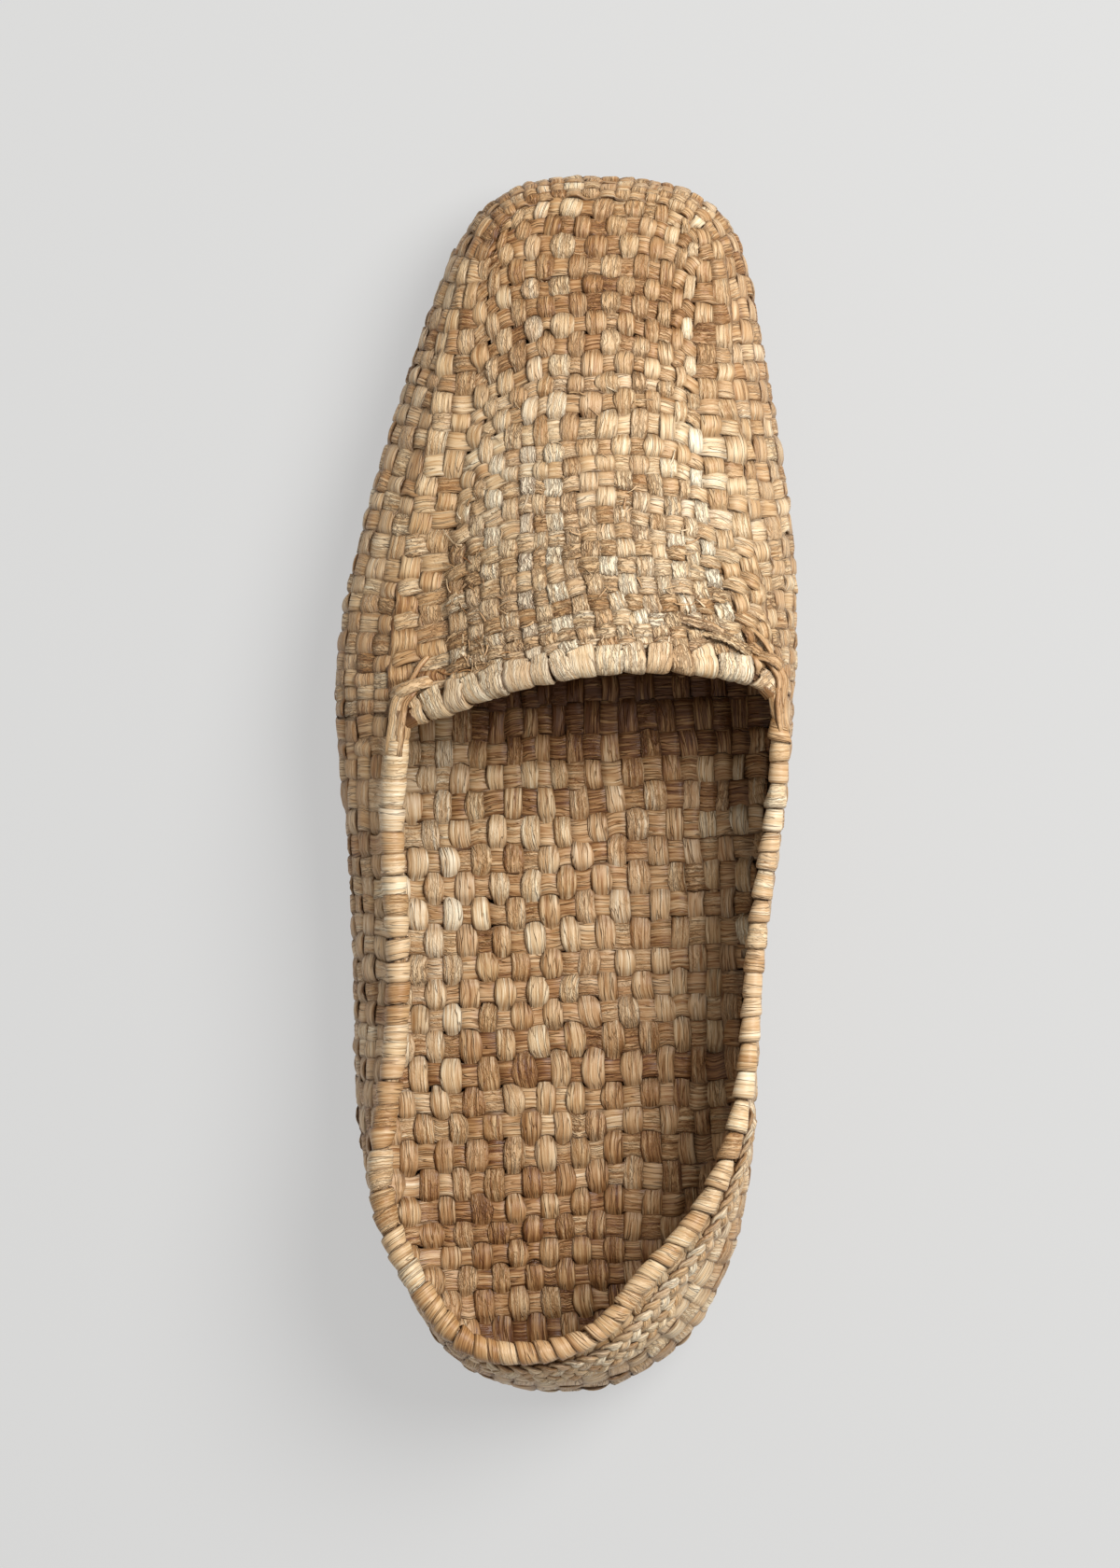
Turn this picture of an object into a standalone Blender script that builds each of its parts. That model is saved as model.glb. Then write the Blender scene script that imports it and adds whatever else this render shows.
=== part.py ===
"""Plaited straw slip-on shoe, left foot, built at real size.

The shoe is a basket on a last: a plaited sole, one hollow plaited upper whose strips stand up in low relief,
a woven footbed inside, and two wrapped rolls that bind the topline and the back edge of the vamp.

The shape functions work in millimetres and the objects are in metres. +Y points at the toe, +X at the inner
(medial) side and +Z up. The origin is on the floor under the middle of the shoe.
"""

from collections import namedtuple

import bmesh
import bpy
import numpy as np

MM = 0.001

# Driving dimensions, in millimetres.
LENGTH = 260.0
BALL_WIDTH = 98.0
INSTEP_HEIGHT = 48.0
HEEL_HEIGHT = 42.0

# Walls and clearances, in millimetres.
WALL = 2.6
SOLE_THICKNESS = 5.0
INSOLE_THICKNESS = 3.0
GAP = 0.3
RELIEF = 0.6
RELIEF_PER_PITCH = 0.14
INSOLE_CLEARANCE = 0.7
SOLE_EDGE_IN = 1.3
SOLE_RIB = 0.8

# The wrapped rolls are thickest along the lateral side. The topline's roll stops short of the throat's
# corners, and the vamp's roll comes down to a row just above them.
ROLL_LATERAL = 2.5
ROLL_HEEL = 2.4
ROLL_MEDIAL = 2.0
ROLL_GAP = 0.45
THROAT_ROLL_GAP = 0.8
ROLL_SETBACK = 4.2
ROLL_FOOT = 0.75

# Rise of the tread above the floor: the toe springs up and the waist arches.
TOE_SPRING = 3.0
TOE_SPRING_FROM = 0.28
WAIST_RISE = 0.8
WAIST_FROM = -0.24
WAIST_TO = 0.06

# The weave: stakes run up the wall, rows run round it, and the vamp panel has warps and wefts.
WARPS = 16
WEFTS = 22
QUARTER_STAKES = 82
QUARTER_ROWS = 7
VAMP_ROWS = 9
BELLY_ROW = 3.0
INSOLE_WARPS = 20
INSOLE_WEFTS = 40
SOLE_ACROSS = 8
SOLE_ALONG = 30
SOLE_CORNER_HEEL = -0.44
SOLE_CORNER_TOE = 0.46

# The throat: its corners, its forward arch, the lean of its end stakes, and the crown of the vamp panel.
THROAT_LATERAL = 0.049
THROAT_MEDIAL = 0.083
TOE_CORNER_LATERAL = 0.466
TOE_CORNER_MEDIAL = 0.474
THROAT_ARCH = 5.0
THROAT_LEAN_LATERAL = 7.0
THROAT_LEAN_MEDIAL = 5.5
CROWN_THROAT = 9.0
CROWN_TOE = 1.6
CROWN_FULLNESS = 0.9
CROWN_TOE_DROP = 6

# Sections across the last. y is a share of LENGTH, lateral and medial are shares of BALL_WIDTH. The other
# columns are millimetres at an instep of INSTEP_STANDARD and a heel of HEEL_STANDARD: foot_in is how far the
# lower edge lies inside the outline, belly_z is the height of the widest line, rim_ and top_ columns are
# insets and heights of the topline behind the throat, and of the ridge where wall turns into vamp panel in
# front of it. slope is the rise of the wall per millimetre inward as it meets the panel.
INSTEP_STANDARD = 48.0
HEEL_STANDARD = 42.0
Quarter = namedtuple("Quarter", "name y lateral medial foot_in belly_z rim_lateral rim_medial rim_z")
Vamp = namedtuple(
    "Vamp", "name y lateral medial foot_in belly_z top_lateral top_medial z_lateral z_medial slope"
)
QUARTERS = [
    Quarter("heel_end", -0.500, 0.030, 0.030, 3.0, 12.0, 9.0, 9.0, 42.0),
    Quarter("heel_curve", -0.477, -0.174, 0.246, 3.4, 13.0, 5.5, 12.0, 42.0),
    Quarter("heel_turn", -0.423, -0.283, 0.375, 4.0, 15.0, 3.2, 13.0, 41.0),
    Quarter("heel", -0.346, -0.374, 0.440, 4.6, 17.0, 2.4, 6.8, 38.5),
    Quarter("waist_back", -0.238, -0.423, 0.458, 5.0, 18.0, 6.8, 1.2, 35.5),
    Quarter("waist", -0.135, -0.441, 0.461, 5.2, 19.0, 8.2, 0.6, 34.5),
    Quarter("midfoot", -0.031, -0.470, 0.489, 5.6, 19.5, 8.8, 0.9, 35.0),
    Quarter("throat", 0.062, -0.500, 0.501, 6.0, 20.0, 12.8, 1.6, 36.5),
]
VAMPS = [
    Vamp("ball", 0.146, -0.485, 0.501, 6.0, 20.5, 22.5, 13.0, 37.0, 40.0, 0.45),
    Vamp("tread", 0.238, -0.437, 0.474, 6.0, 19.5, 19.5, 17.0, 35.5, 38.0, 0.40),
    Vamp("toe_box", 0.338, -0.367, 0.420, 6.0, 18.0, 15.0, 15.5, 32.5, 34.5, 0.35),
    Vamp("toe_side", 0.415, -0.304, 0.372, 5.5, 17.0, 8.5, 12.5, 29.5, 30.5, 0.30),
    Vamp("toe_turn", 0.462, -0.241, 0.324, 5.0, 16.0, 6.5, 8.5, 28.0, 28.5, 0.25),
    Vamp("toe_front", 0.487, -0.163, 0.250, 5.0, 16.0, 5.8, 6.2, 27.0, 27.0, 0.25),
    Vamp("toe_end", 0.500, 0.045, 0.045, 5.0, 16.0, 5.6, 5.6, 27.0, 27.0, 0.25),
]

# How a quarter's wall would close over if it went on above its topline, and where the belt line of the vamp
# lies between belly and ridge. The two give the wall one continuous shape past the throat. FOOT_FLARE and
# RIDGE_EASE set how fast the wall leaves its lower edge and how far it eases over into the ridge.
CLOSE_IN = 1.8
CLOSE_MORE = 2.0
CLOSE_UP = 4.5
CLOSE_SLOPE = 0.5
FOOT_FLARE = 1.5
RIDGE_EASE = 1.3
BELT_IN = 0.5
BELT_UP = 0.8

# Straw colours (linear RGB) for plain viewing.
STRAW = (0.50, 0.33, 0.16, 1.0)
STRAW_PALE = (0.62, 0.45, 0.25, 1.0)
STRAW_DARK = (0.36, 0.22, 0.10, 1.0)
STRAW_ROUGHNESS = 0.6


# ---------------------------------------------------------------- the last


def periodic_slopes(knots, values):
    """Slopes of the smooth closed cubic through values at knots; the last knot closes on the first."""
    step = np.diff(knots)
    count = len(step)
    before = np.roll(step, 1)
    chord = (np.roll(values[:-1], -1, axis=0) - values[:-1]) / step[:, None] ** 2
    chord_before = np.roll(chord, 1, axis=0)
    matrix = np.zeros((count, count))
    index = np.arange(count)
    matrix[index, index] = 2 / before + 2 / step
    matrix[index, (index + 1) % count] += 1 / step
    matrix[index, (index - 1) % count] += 1 / before
    slopes = np.linalg.solve(matrix, 3 * (chord + chord_before))
    return np.vstack([slopes, slopes[:1]])


def hermite(left, right, slope_left, slope_right, span, t):
    """Cubic between two values with given end slopes; t runs from 0 to 1 over the span."""
    t2 = t * t
    t3 = t2 * t
    return (
        (2 * t3 - 3 * t2 + 1) * left
        + (t3 - 2 * t2 + t) * span * slope_left
        + (3 * t2 - 2 * t3) * right
        + (t3 - t2) * span * slope_right
    )


def loop_rows():
    """The stations round the last, heel to toe on the lateral side and back on the medial side."""
    tall = INSTEP_HEIGHT / INSTEP_STANDARD
    heel = HEEL_HEIGHT / HEEL_STANDARD

    def quarter_row(section, x, rim_in):
        rim_z = section.rim_z * heel
        top_in = rim_in * CLOSE_IN + CLOSE_MORE
        foot = (x * BALL_WIDTH, section.y * LENGTH, section.foot_in, section.belly_z * tall)
        return (*foot, rim_in, rim_z, top_in, rim_z + CLOSE_UP, CLOSE_SLOPE)

    def vamp_row(section, x, top_in, top_z):
        belly_z = section.belly_z * tall
        belt_z = belly_z + BELT_UP * (top_z * tall - belly_z)
        foot = (x * BALL_WIDTH, section.y * LENGTH, section.foot_in, belly_z)
        return (*foot, top_in * BELT_IN, belt_z, top_in, top_z * tall, section.slope)

    lateral = [quarter_row(q, q.lateral, q.rim_lateral) for q in QUARTERS]
    lateral += [vamp_row(v, v.lateral, v.top_lateral, v.z_lateral) for v in VAMPS]
    medial = [quarter_row(q, q.medial, q.rim_medial) for q in QUARTERS[1:]]
    medial += [vamp_row(v, v.medial, v.top_medial, v.z_medial) for v in VAMPS[:-1]]
    return np.array(lateral + medial[::-1])


class Last:
    """The outer surface of the shoe as functions of a place round it and a row up its wall."""

    SAMPLES = 1200

    def __init__(self):
        rows = loop_rows()
        rows = np.vstack([rows, rows[:1]])
        knots = np.concatenate([[0], np.cumsum(np.hypot(*np.diff(rows[:, :2], axis=0).T))])
        slopes = periodic_slopes(knots, rows)
        at = np.linspace(0, knots[-1], self.SAMPLES + 1)
        left = np.clip(np.searchsorted(knots, at, side="right") - 1, 0, len(knots) - 2)
        span = np.diff(knots)[left, None]
        t = (at[:, None] - knots[left, None]) / span
        dense = hermite(rows[left], rows[left + 1], slopes[left], slopes[left + 1], span, t)
        self.dense = dense
        self.arc = np.concatenate([[0], np.cumsum(np.hypot(*np.diff(dense[:, :2], axis=0).T))])
        self.length = self.arc[-1]
        self.toe_arc = self.arc[np.argmax(dense[:, 1])]

    def columns(self, s):
        """All columns of the station at arc length s round the outline."""
        s = np.mod(s, self.length)
        return np.stack([np.interp(s, self.arc, column) for column in self.dense.T], axis=-1)

    def inward(self, s):
        """The unit vector in plan that points into the shoe at s."""
        step = 1.5
        ahead = self.columns(s + step)[..., :2] - self.columns(s - step)[..., :2]
        ahead /= np.linalg.norm(ahead, axis=-1, keepdims=True)
        return np.stack([ahead[..., 1], -ahead[..., 0]], axis=-1)

    def place(self, y_share, side):
        """The arc length where the outline passes y on that side: lateral is -1, medial is 1."""
        lateral = self.arc <= self.toe_arc
        chosen = lateral if side < 0 else ~lateral
        near = np.argmin(np.where(chosen, np.abs(self.dense[:, 1] - y_share * LENGTH), np.inf))
        return self.arc[near]

    def at_inset(self, s, inset):
        """Points in plan that lie inset inside the outline."""
        return self.columns(s)[..., :2] + self.inward(s) * np.asarray(inset)[..., None]

    def wall(self, s, row):
        """Points of the outer surface at s and a row number: 0 is the lower edge, VAMP_ROWS the ridge."""
        s, row = np.broadcast_arrays(np.asarray(s, float), np.asarray(row, float))
        x, y, foot_in, belly_z, rim_in, rim_z, top_in, top_z, slope = np.moveaxis(self.columns(s), -1, 0)
        foot_z = tread_z(y) + SOLE_THICKNESS + GAP
        to_top = VAMP_ROWS - BELLY_ROW
        ease = RIDGE_EASE * (top_in - rim_in) / (VAMP_ROWS - QUARTER_ROWS)
        rows = [0.0, BELLY_ROW, QUARTER_ROWS, VAMP_ROWS]
        insets = [foot_in, 0 * foot_in, rim_in, top_in]
        heights = [foot_z, belly_z, rim_z, top_z]
        inset_slopes = [-FOOT_FLARE * foot_in / BELLY_ROW, 0 * foot_in, top_in / to_top, ease]
        height_slopes = [
            (belly_z - foot_z) / BELLY_ROW,
            (rim_z - foot_z) / QUARTER_ROWS,
            (top_z - belly_z) / to_top,
            ease * slope,
        ]
        inset, z = np.zeros_like(row), np.zeros_like(row)
        for k in range(3):
            span = rows[k + 1] - rows[k]
            t = np.clip((row - rows[k]) / span, 0, 1)
            here = (row >= rows[k]) if k else np.ones_like(row, bool)
            inset_here = hermite(insets[k], insets[k + 1], inset_slopes[k], inset_slopes[k + 1], span, t)
            z_here = hermite(heights[k], heights[k + 1], height_slopes[k], height_slopes[k + 1], span, t)
            inset = np.where(here, inset_here, inset)
            z = np.where(here, z_here, z)
        plan = np.stack([x, y], axis=-1) + self.inward(s) * inset[..., None]
        return np.concatenate([plan, z[..., None]], axis=-1)


def tread_z(y):
    """Height of the sole's underside over the floor."""
    share = np.asarray(y) / LENGTH
    toe = np.clip((share - TOE_SPRING_FROM) / (0.5 - TOE_SPRING_FROM), 0, 1)
    waist = np.clip((share - WAIST_FROM) / (WAIST_TO - WAIST_FROM), 0, 1)
    return TOE_SPRING * toe**2 + WAIST_RISE * np.sin(np.pi * waist) ** 2


def coons(lateral, medial, throat, front):
    """Grid of points [u, v] spanned by four border rows of points."""
    u = np.linspace(0, 1, len(throat))[:, None, None]
    v = np.linspace(0, 1, len(lateral))[None, :, None]
    sides = (1 - u) * lateral[None] + u * medial[None]
    ends = (1 - v) * throat[:, None] + v * front[:, None]
    corners = (1 - v) * ((1 - u) * lateral[0] + u * medial[0]) + v * ((1 - u) * lateral[-1] + u * medial[-1])
    return sides + ends - corners


# ---------------------------------------------------------------- the upper


def ring_places(last):
    """Arc lengths of the stakes: lateral throat corner, forward round the toe, and round the heel."""
    throat_lateral = last.place(THROAT_LATERAL, -1)
    toe_lateral = last.place(TOE_CORNER_LATERAL, -1)
    toe_medial = last.place(TOE_CORNER_MEDIAL, 1)
    throat_medial = last.place(THROAT_MEDIAL, 1)
    return np.concatenate(
        [
            np.linspace(throat_lateral, toe_lateral, WEFTS + 1)[:-1],
            np.linspace(toe_lateral, toe_medial, WARPS + 1)[:-1],
            np.linspace(toe_medial, throat_medial, WEFTS + 1)[:-1],
            np.linspace(throat_medial, throat_lateral + last.length, QUARTER_STAKES + 1)[:-1],
        ]
    )


def leaned(places, row):
    """The stakes beside the throat lean forward above the belt line, less and less towards the toe."""
    index = np.arange(len(places))
    lateral = np.clip(1 - index / WEFTS, 0, 1)
    medial_start = 2 * WEFTS + WARPS
    medial = np.clip(1 - (medial_start - index) / WEFTS, 0, 1) * (index <= medial_start)
    over_belt = max(row - QUARTER_ROWS, 0) / (VAMP_ROWS - QUARTER_ROWS)
    return places + over_belt * (THROAT_LEAN_LATERAL * lateral - THROAT_LEAN_MEDIAL * medial)


def panel_points(wall_top):
    """The vamp panel [warp, weft] between the ridge stakes, arched at the throat and crowned."""
    lateral = wall_top[: WEFTS + 1]
    front = wall_top[WEFTS : WEFTS + WARPS + 1]
    medial = wall_top[WEFTS + WARPS : 2 * WEFTS + WARPS + 1][::-1]
    u = np.linspace(0, 1, WARPS + 1)
    throat = (1 - u)[:, None] * lateral[0] + u[:, None] * medial[0]
    throat[:, 1] += THROAT_ARCH * 4 * u * (1 - u)
    panel = coons(lateral, medial, throat, front)
    v = np.linspace(0, 1, WEFTS + 1)
    crown = CROWN_THROAT * (1 - v) + CROWN_TOE * (1 - v**CROWN_TOE_DROP)
    panel[..., 2] += crown[None] * np.sin(np.pi * u)[:, None] ** CROWN_FULLNESS
    return panel


def upper_grids(last):
    """Points of the wall [stake, row] and of the vamp panel [warp, weft]."""
    places = ring_places(last)
    wall = np.stack([last.wall(leaned(places, row), row) for row in range(VAMP_ROWS + 1)], axis=1)
    return wall, panel_points(wall[:, VAMP_ROWS])


def vamp_columns():
    """The ring columns in front of the throat, both throat corners included."""
    return range(2 * WEFTS + WARPS + 1)


def build_upper(last):
    """One hollow plaited wall: quarters, toe and vamp, with each crossing raised or sunk in turn."""
    wall, panel = upper_grids(last)
    mesh = bmesh.new()
    sway = mesh.verts.layers.float.new("sway")
    columns = len(wall)
    in_vamp = set(vamp_columns())
    ring = {}
    for c in range(columns):
        rows = VAMP_ROWS if c in in_vamp else QUARTER_ROWS
        at_throat = c in (0, 2 * WEFTS + WARPS)
        for r in range(rows + 1):
            ring[c, r] = mesh.verts.new(wall[c, r] * MM)
            on_border = r == 0 or (r == rows and c not in in_vamp) or (at_throat and r >= QUARTER_ROWS)
            ring[c, r][sway] = 0 if on_border else (-1) ** (c + r)
    for c in range(columns):
        after = (c + 1) % columns
        both_vamp = c in in_vamp and after in in_vamp and after != 0
        for r in range(VAMP_ROWS if both_vamp else QUARTER_ROWS):
            corners = [ring[c, r], ring[c, r + 1], ring[after, r + 1], ring[after, r]]
            crossing_faces(mesh, corners, {vert: vert[sway] for vert in corners})
    top = {}
    for i in range(WARPS + 1):
        for j in range(WEFTS + 1):
            if i == 0:
                top[i, j] = ring[j, VAMP_ROWS]
            elif i == WARPS:
                top[i, j] = ring[2 * WEFTS + WARPS - j, VAMP_ROWS]
            elif j == WEFTS:
                top[i, j] = ring[WEFTS + i, VAMP_ROWS]
            else:
                top[i, j] = mesh.verts.new(panel[i, j] * MM)
                top[i, j][sway] = 0 if j == 0 else (-1) ** (i + j + VAMP_ROWS)
    for i in range(WARPS):
        for j in range(WEFTS):
            corners = [top[i, j], top[i + 1, j], top[i + 1, j + 1], top[i, j + 1]]
            crossing_faces(mesh, corners, {vert: vert[sway] for vert in corners})
    raise_crossings(mesh, sway)
    upper = add_object("upper", mesh, "woven_straw", STRAW)
    shell = upper.modifiers.new("Wall", "SOLIDIFY")
    shell.thickness = WALL * MM
    shell.offset = -1
    return upper


def crossing_faces(mesh, corners, height):
    """Two triangles split between the lower pair of opposite corners, so that the higher ones stand up."""
    a, b, c, d = corners
    if height[a] + height[c] <= height[b] + height[d]:
        mesh.faces.new([a, b, c])
        mesh.faces.new([a, c, d])
    else:
        mesh.faces.new([a, b, d])
        mesh.faces.new([b, c, d])


def raise_crossings(mesh, sway):
    """Moves each vertex along its normal by its share of the relief, less where the weave is tight."""
    mesh.normal_update()
    moves = []
    for vert in mesh.verts:
        shortest = min(edge.calc_length() for edge in vert.link_edges) / MM
        moves.append(vert.normal * (vert[sway] * min(RELIEF, RELIEF_PER_PITCH * shortest) * MM))
    for vert, move in zip(mesh.verts, moves):
        vert.co += move


# ---------------------------------------------------------------- sole and insole


def disc_grid(last, inset_more, across, along):
    """A four-cornered grid of plan points that fills the outline, inset inside the wall's lower edge."""

    def border(start, end, count):
        s = np.linspace(start, end, count + 1)
        foot_in = last.columns(s)[:, 2]
        return last.at_inset(s, foot_in + inset_more)

    heel_lateral, heel_medial = (last.place(SOLE_CORNER_HEEL, side) for side in (-1, 1))
    toe_lateral, toe_medial = (last.place(SOLE_CORNER_TOE, side) for side in (-1, 1))
    lateral = border(heel_lateral, toe_lateral, along)
    medial = border(heel_medial, toe_medial, along)
    heel = border(heel_lateral + last.length, heel_medial, across)
    toe = border(toe_lateral, toe_medial, across)
    return coons(lateral, medial, heel, toe)


def border_keys(across, along):
    """Grid indices round the border, clockwise from above, starting at the lateral heel corner."""
    lateral = [(0, j) for j in range(along)]
    toe = [(i, along) for i in range(across)]
    medial = [(across, j) for j in range(along, 0, -1)]
    heel = [(i, 0) for i in range(across, 0, -1)]
    return lateral + toe + medial + heel


def grid_faces(mesh, grid, across, along, flip=False):
    """Quads of a grid of vertices, facing up unless flipped."""
    for i in range(across):
        for j in range(along):
            quad = [grid[i, j], grid[i + 1, j], grid[i + 1, j + 1], grid[i, j + 1]]
            mesh.faces.new(quad[::-1] if flip else quad)


def build_outsole(last):
    """The plaited sole: flat at heel and ball, arched at the waist, its edge bound in two rolls."""
    plan = disc_grid(last, -SOLE_EDGE_IN, SOLE_ACROSS, SOLE_ALONG)
    keys = border_keys(SOLE_ACROSS, SOLE_ALONG)
    border = np.array([plan[key] for key in keys])
    ahead = np.roll(border, -1, axis=0) - np.roll(border, 1, axis=0)
    ahead /= np.linalg.norm(ahead, axis=1, keepdims=True)
    inward = np.stack([ahead[:, 1], -ahead[:, 0]], axis=1)
    mesh = bmesh.new()

    def cap(height):
        points = plan.copy()
        for key, push in zip(keys, inward):
            points[key] = points[key] + push * SOLE_RIB
        z = tread_z(points[..., 1]) + height
        return {
            (i, j): mesh.verts.new((*(points[i, j] * MM), z[i, j] * MM))
            for i in range(SOLE_ACROSS + 1)
            for j in range(SOLE_ALONG + 1)
        }

    def ring(height, inset):
        points = border + inward * inset
        z = tread_z(points[:, 1]) + height
        return [mesh.verts.new((*(p * MM), h * MM)) for p, h in zip(points, z)]

    bottom, top = cap(0), cap(SOLE_THICKNESS)
    grid_faces(mesh, bottom, SOLE_ACROSS, SOLE_ALONG, flip=True)
    grid_faces(mesh, top, SOLE_ACROSS, SOLE_ALONG)
    quarter = SOLE_THICKNESS / 4
    rings = [
        [bottom[key] for key in keys],
        ring(quarter, 0),
        ring(2 * quarter, SOLE_RIB),
        ring(3 * quarter, 0),
        [top[key] for key in keys],
    ]
    for lower, upper in zip(rings, rings[1:]):
        for k in range(len(keys)):
            after = (k + 1) % len(keys)
            mesh.faces.new([lower[k], upper[k], upper[after], lower[after]])
    return add_object("outsole", mesh, "sole_straw", STRAW_DARK)


def build_insole(last):
    """The woven footbed: its crossings stand up in turn, and its underside lies on the sole."""
    plan = disc_grid(last, WALL + INSOLE_CLEARANCE, INSOLE_WARPS, INSOLE_WEFTS)
    base = tread_z(plan[..., 1]) + SOLE_THICKNESS + GAP
    mesh = bmesh.new()
    top = {}
    for i in range(INSOLE_WARPS + 1):
        for j in range(INSOLE_WEFTS + 1):
            inside = 0 < i < INSOLE_WARPS and 0 < j < INSOLE_WEFTS
            lift = RELIEF * (-1) ** (i + j) if inside else -RELIEF
            z = base[i, j] + INSOLE_THICKNESS + lift
            top[i, j] = mesh.verts.new((*(plan[i, j] * MM), z * MM))
    for i in range(INSOLE_WARPS):
        for j in range(INSOLE_WEFTS):
            corners = [top[i, j], top[i + 1, j], top[i + 1, j + 1], top[i, j + 1]]
            crossing_faces(mesh, corners, {vert: vert.co.z for vert in corners})
    keys = border_keys(INSOLE_WARPS, INSOLE_WEFTS)
    low = {key: mesh.verts.new((*(plan[key] * MM), base[key] * MM)) for key in keys}
    for key, after in zip(keys, keys[1:] + keys[:1]):
        mesh.faces.new([low[key], top[key], top[after], low[after]])
    for j in range(INSOLE_WEFTS):
        corners = [(0, j), (0, j + 1), (INSOLE_WARPS, j + 1), (INSOLE_WARPS, j)]
        mesh.faces.new([low[key] for key in corners])
    heel = [(i, 0) for i in range(INSOLE_WARPS + 1)]
    toe = [(i, INSOLE_WEFTS) for i in range(INSOLE_WARPS + 1)]
    mesh.faces.new([low[key] for key in heel[::-1]])
    mesh.faces.new([low[key] for key in toe])
    return add_object("insole", mesh, "footbed_straw", STRAW)


# ---------------------------------------------------------------- bindings


def roll_radius(path):
    """Radius of the wrapped roll at each point of its path, by how far lateral or medial it is."""
    across = path[:, 0] / BALL_WIDTH
    return np.interp(across, [-0.34, 0, 0.45], [ROLL_LATERAL, ROLL_HEEL, ROLL_MEDIAL])


def roll_path(edge, inner_row, gap):
    """Centre line of a roll on a wall's edge: past the edge by its radius and a gap, at mid wall."""
    along = np.gradient(edge, axis=0)
    along /= np.linalg.norm(along, axis=1, keepdims=True)
    out = edge - inner_row
    out -= along * np.sum(out * along, axis=1, keepdims=True)
    out /= np.linalg.norm(out, axis=1, keepdims=True)
    face = np.cross(out, along)
    return edge - face * WALL / 2 + out * (roll_radius(edge)[:, None] + gap)


def build_roll(name, path, material, colour):
    """A wrapped roll: a round tube with closed ends along the path."""
    curve = bpy.data.curves.new(name, "CURVE")
    curve.dimensions = "3D"
    curve.bevel_depth = MM
    curve.bevel_resolution = 2
    curve.use_fill_caps = True
    spline = curve.splines.new("POLY")
    spline.points.add(len(path) - 1)
    for point, co, radius in zip(spline.points, path, roll_radius(path)):
        point.co = (*(co * MM), 1)
        point.radius = radius
    spline.use_smooth = True
    roll = bpy.data.objects.new(name, curve)
    roll.data.materials.append(straw_material(material, colour))
    SHOE.objects.link(roll)
    return roll


def build_bindings(last):
    """The topline's roll, from one throat corner round the heel to the other, and the roll on the vamp."""
    places = ring_places(last)
    panel = upper_grids(last)[1]
    corner = 2 * WEFTS + WARPS
    round_heel = np.r_[places[corner:], places[0] + last.length]
    round_heel[[0, -1]] += ROLL_SETBACK, -ROLL_SETBACK
    rim, below = (last.wall(round_heel, row) for row in (QUARTER_ROWS, QUARTER_ROWS - 1))
    topline = roll_path(rim, below, ROLL_GAP)
    build_roll("collar_binding", topline, "collar_straw", STRAW_PALE)
    rising = np.linspace(QUARTER_ROWS + ROLL_FOOT, VAMP_ROWS, 4)[:-1]
    lean = np.array([leaned(places, row) for row in rising])
    edge = [last.wall(lean[:, 0], rising), panel[:, 0], last.wall(lean[::-1, corner], rising[::-1])]
    behind = [last.wall(lean[:, 1], rising), panel[:, 1], last.wall(lean[::-1, corner - 1], rising[::-1])]
    vamp_edge = roll_path(np.concatenate(edge), np.concatenate(behind), THROAT_ROLL_GAP)
    build_roll("throat_binding", vamp_edge, "throat_straw", STRAW_PALE)


# ---------------------------------------------------------------- scene


def straw_material(name, colour):
    """A plain straw finish in the part's colour."""
    found = bpy.data.materials.get(name)
    if found:
        return found
    material = bpy.data.materials.new(name)
    material.use_nodes = True
    shader = material.node_tree.nodes["Principled BSDF"]
    shader.inputs["Base Color"].default_value = colour
    shader.inputs["Roughness"].default_value = STRAW_ROUGHNESS
    shader.inputs["Metallic"].default_value = 0.0
    return material


def add_object(name, mesh, material, colour):
    """Turns a finished bmesh into a named object of the shoe."""
    data = bpy.data.meshes.new(name)
    mesh.to_mesh(data)
    mesh.free()
    data.materials.append(straw_material(material, colour))
    made = bpy.data.objects.new(name, data)
    SHOE.objects.link(made)
    return made


for old in list(bpy.data.objects):
    bpy.data.objects.remove(old)
SHOE = bpy.data.collections.new("straw_shoe")
bpy.context.scene.collection.children.link(SHOE)

LAST = Last()
build_outsole(LAST)
build_insole(LAST)
build_upper(LAST)
build_bindings(LAST)
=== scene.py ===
"""Looks of the plaited straw slip-on shoe, left foot, built round its packed model.

Every strip of straw is its own ribbon. Stakes rise from the sole's edge, cross the rows that run round the
wall and fold over the rolls at the topline, while the vamp's wefts pass from one side wall over the panel
to the other. All of them follow one last, whose length and width come from the frame. Shapes are worked out
in millimetres, +Y at the toe, +X at the medial side and +Z up, and the meshes are in metres.
"""

from __future__ import annotations

import logging
import math
from dataclasses import dataclass, replace
from enum import Enum
from functools import partial
from typing import Callable, NamedTuple

import bpy
import numpy as np
from mathutils import Matrix, Vector

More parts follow.
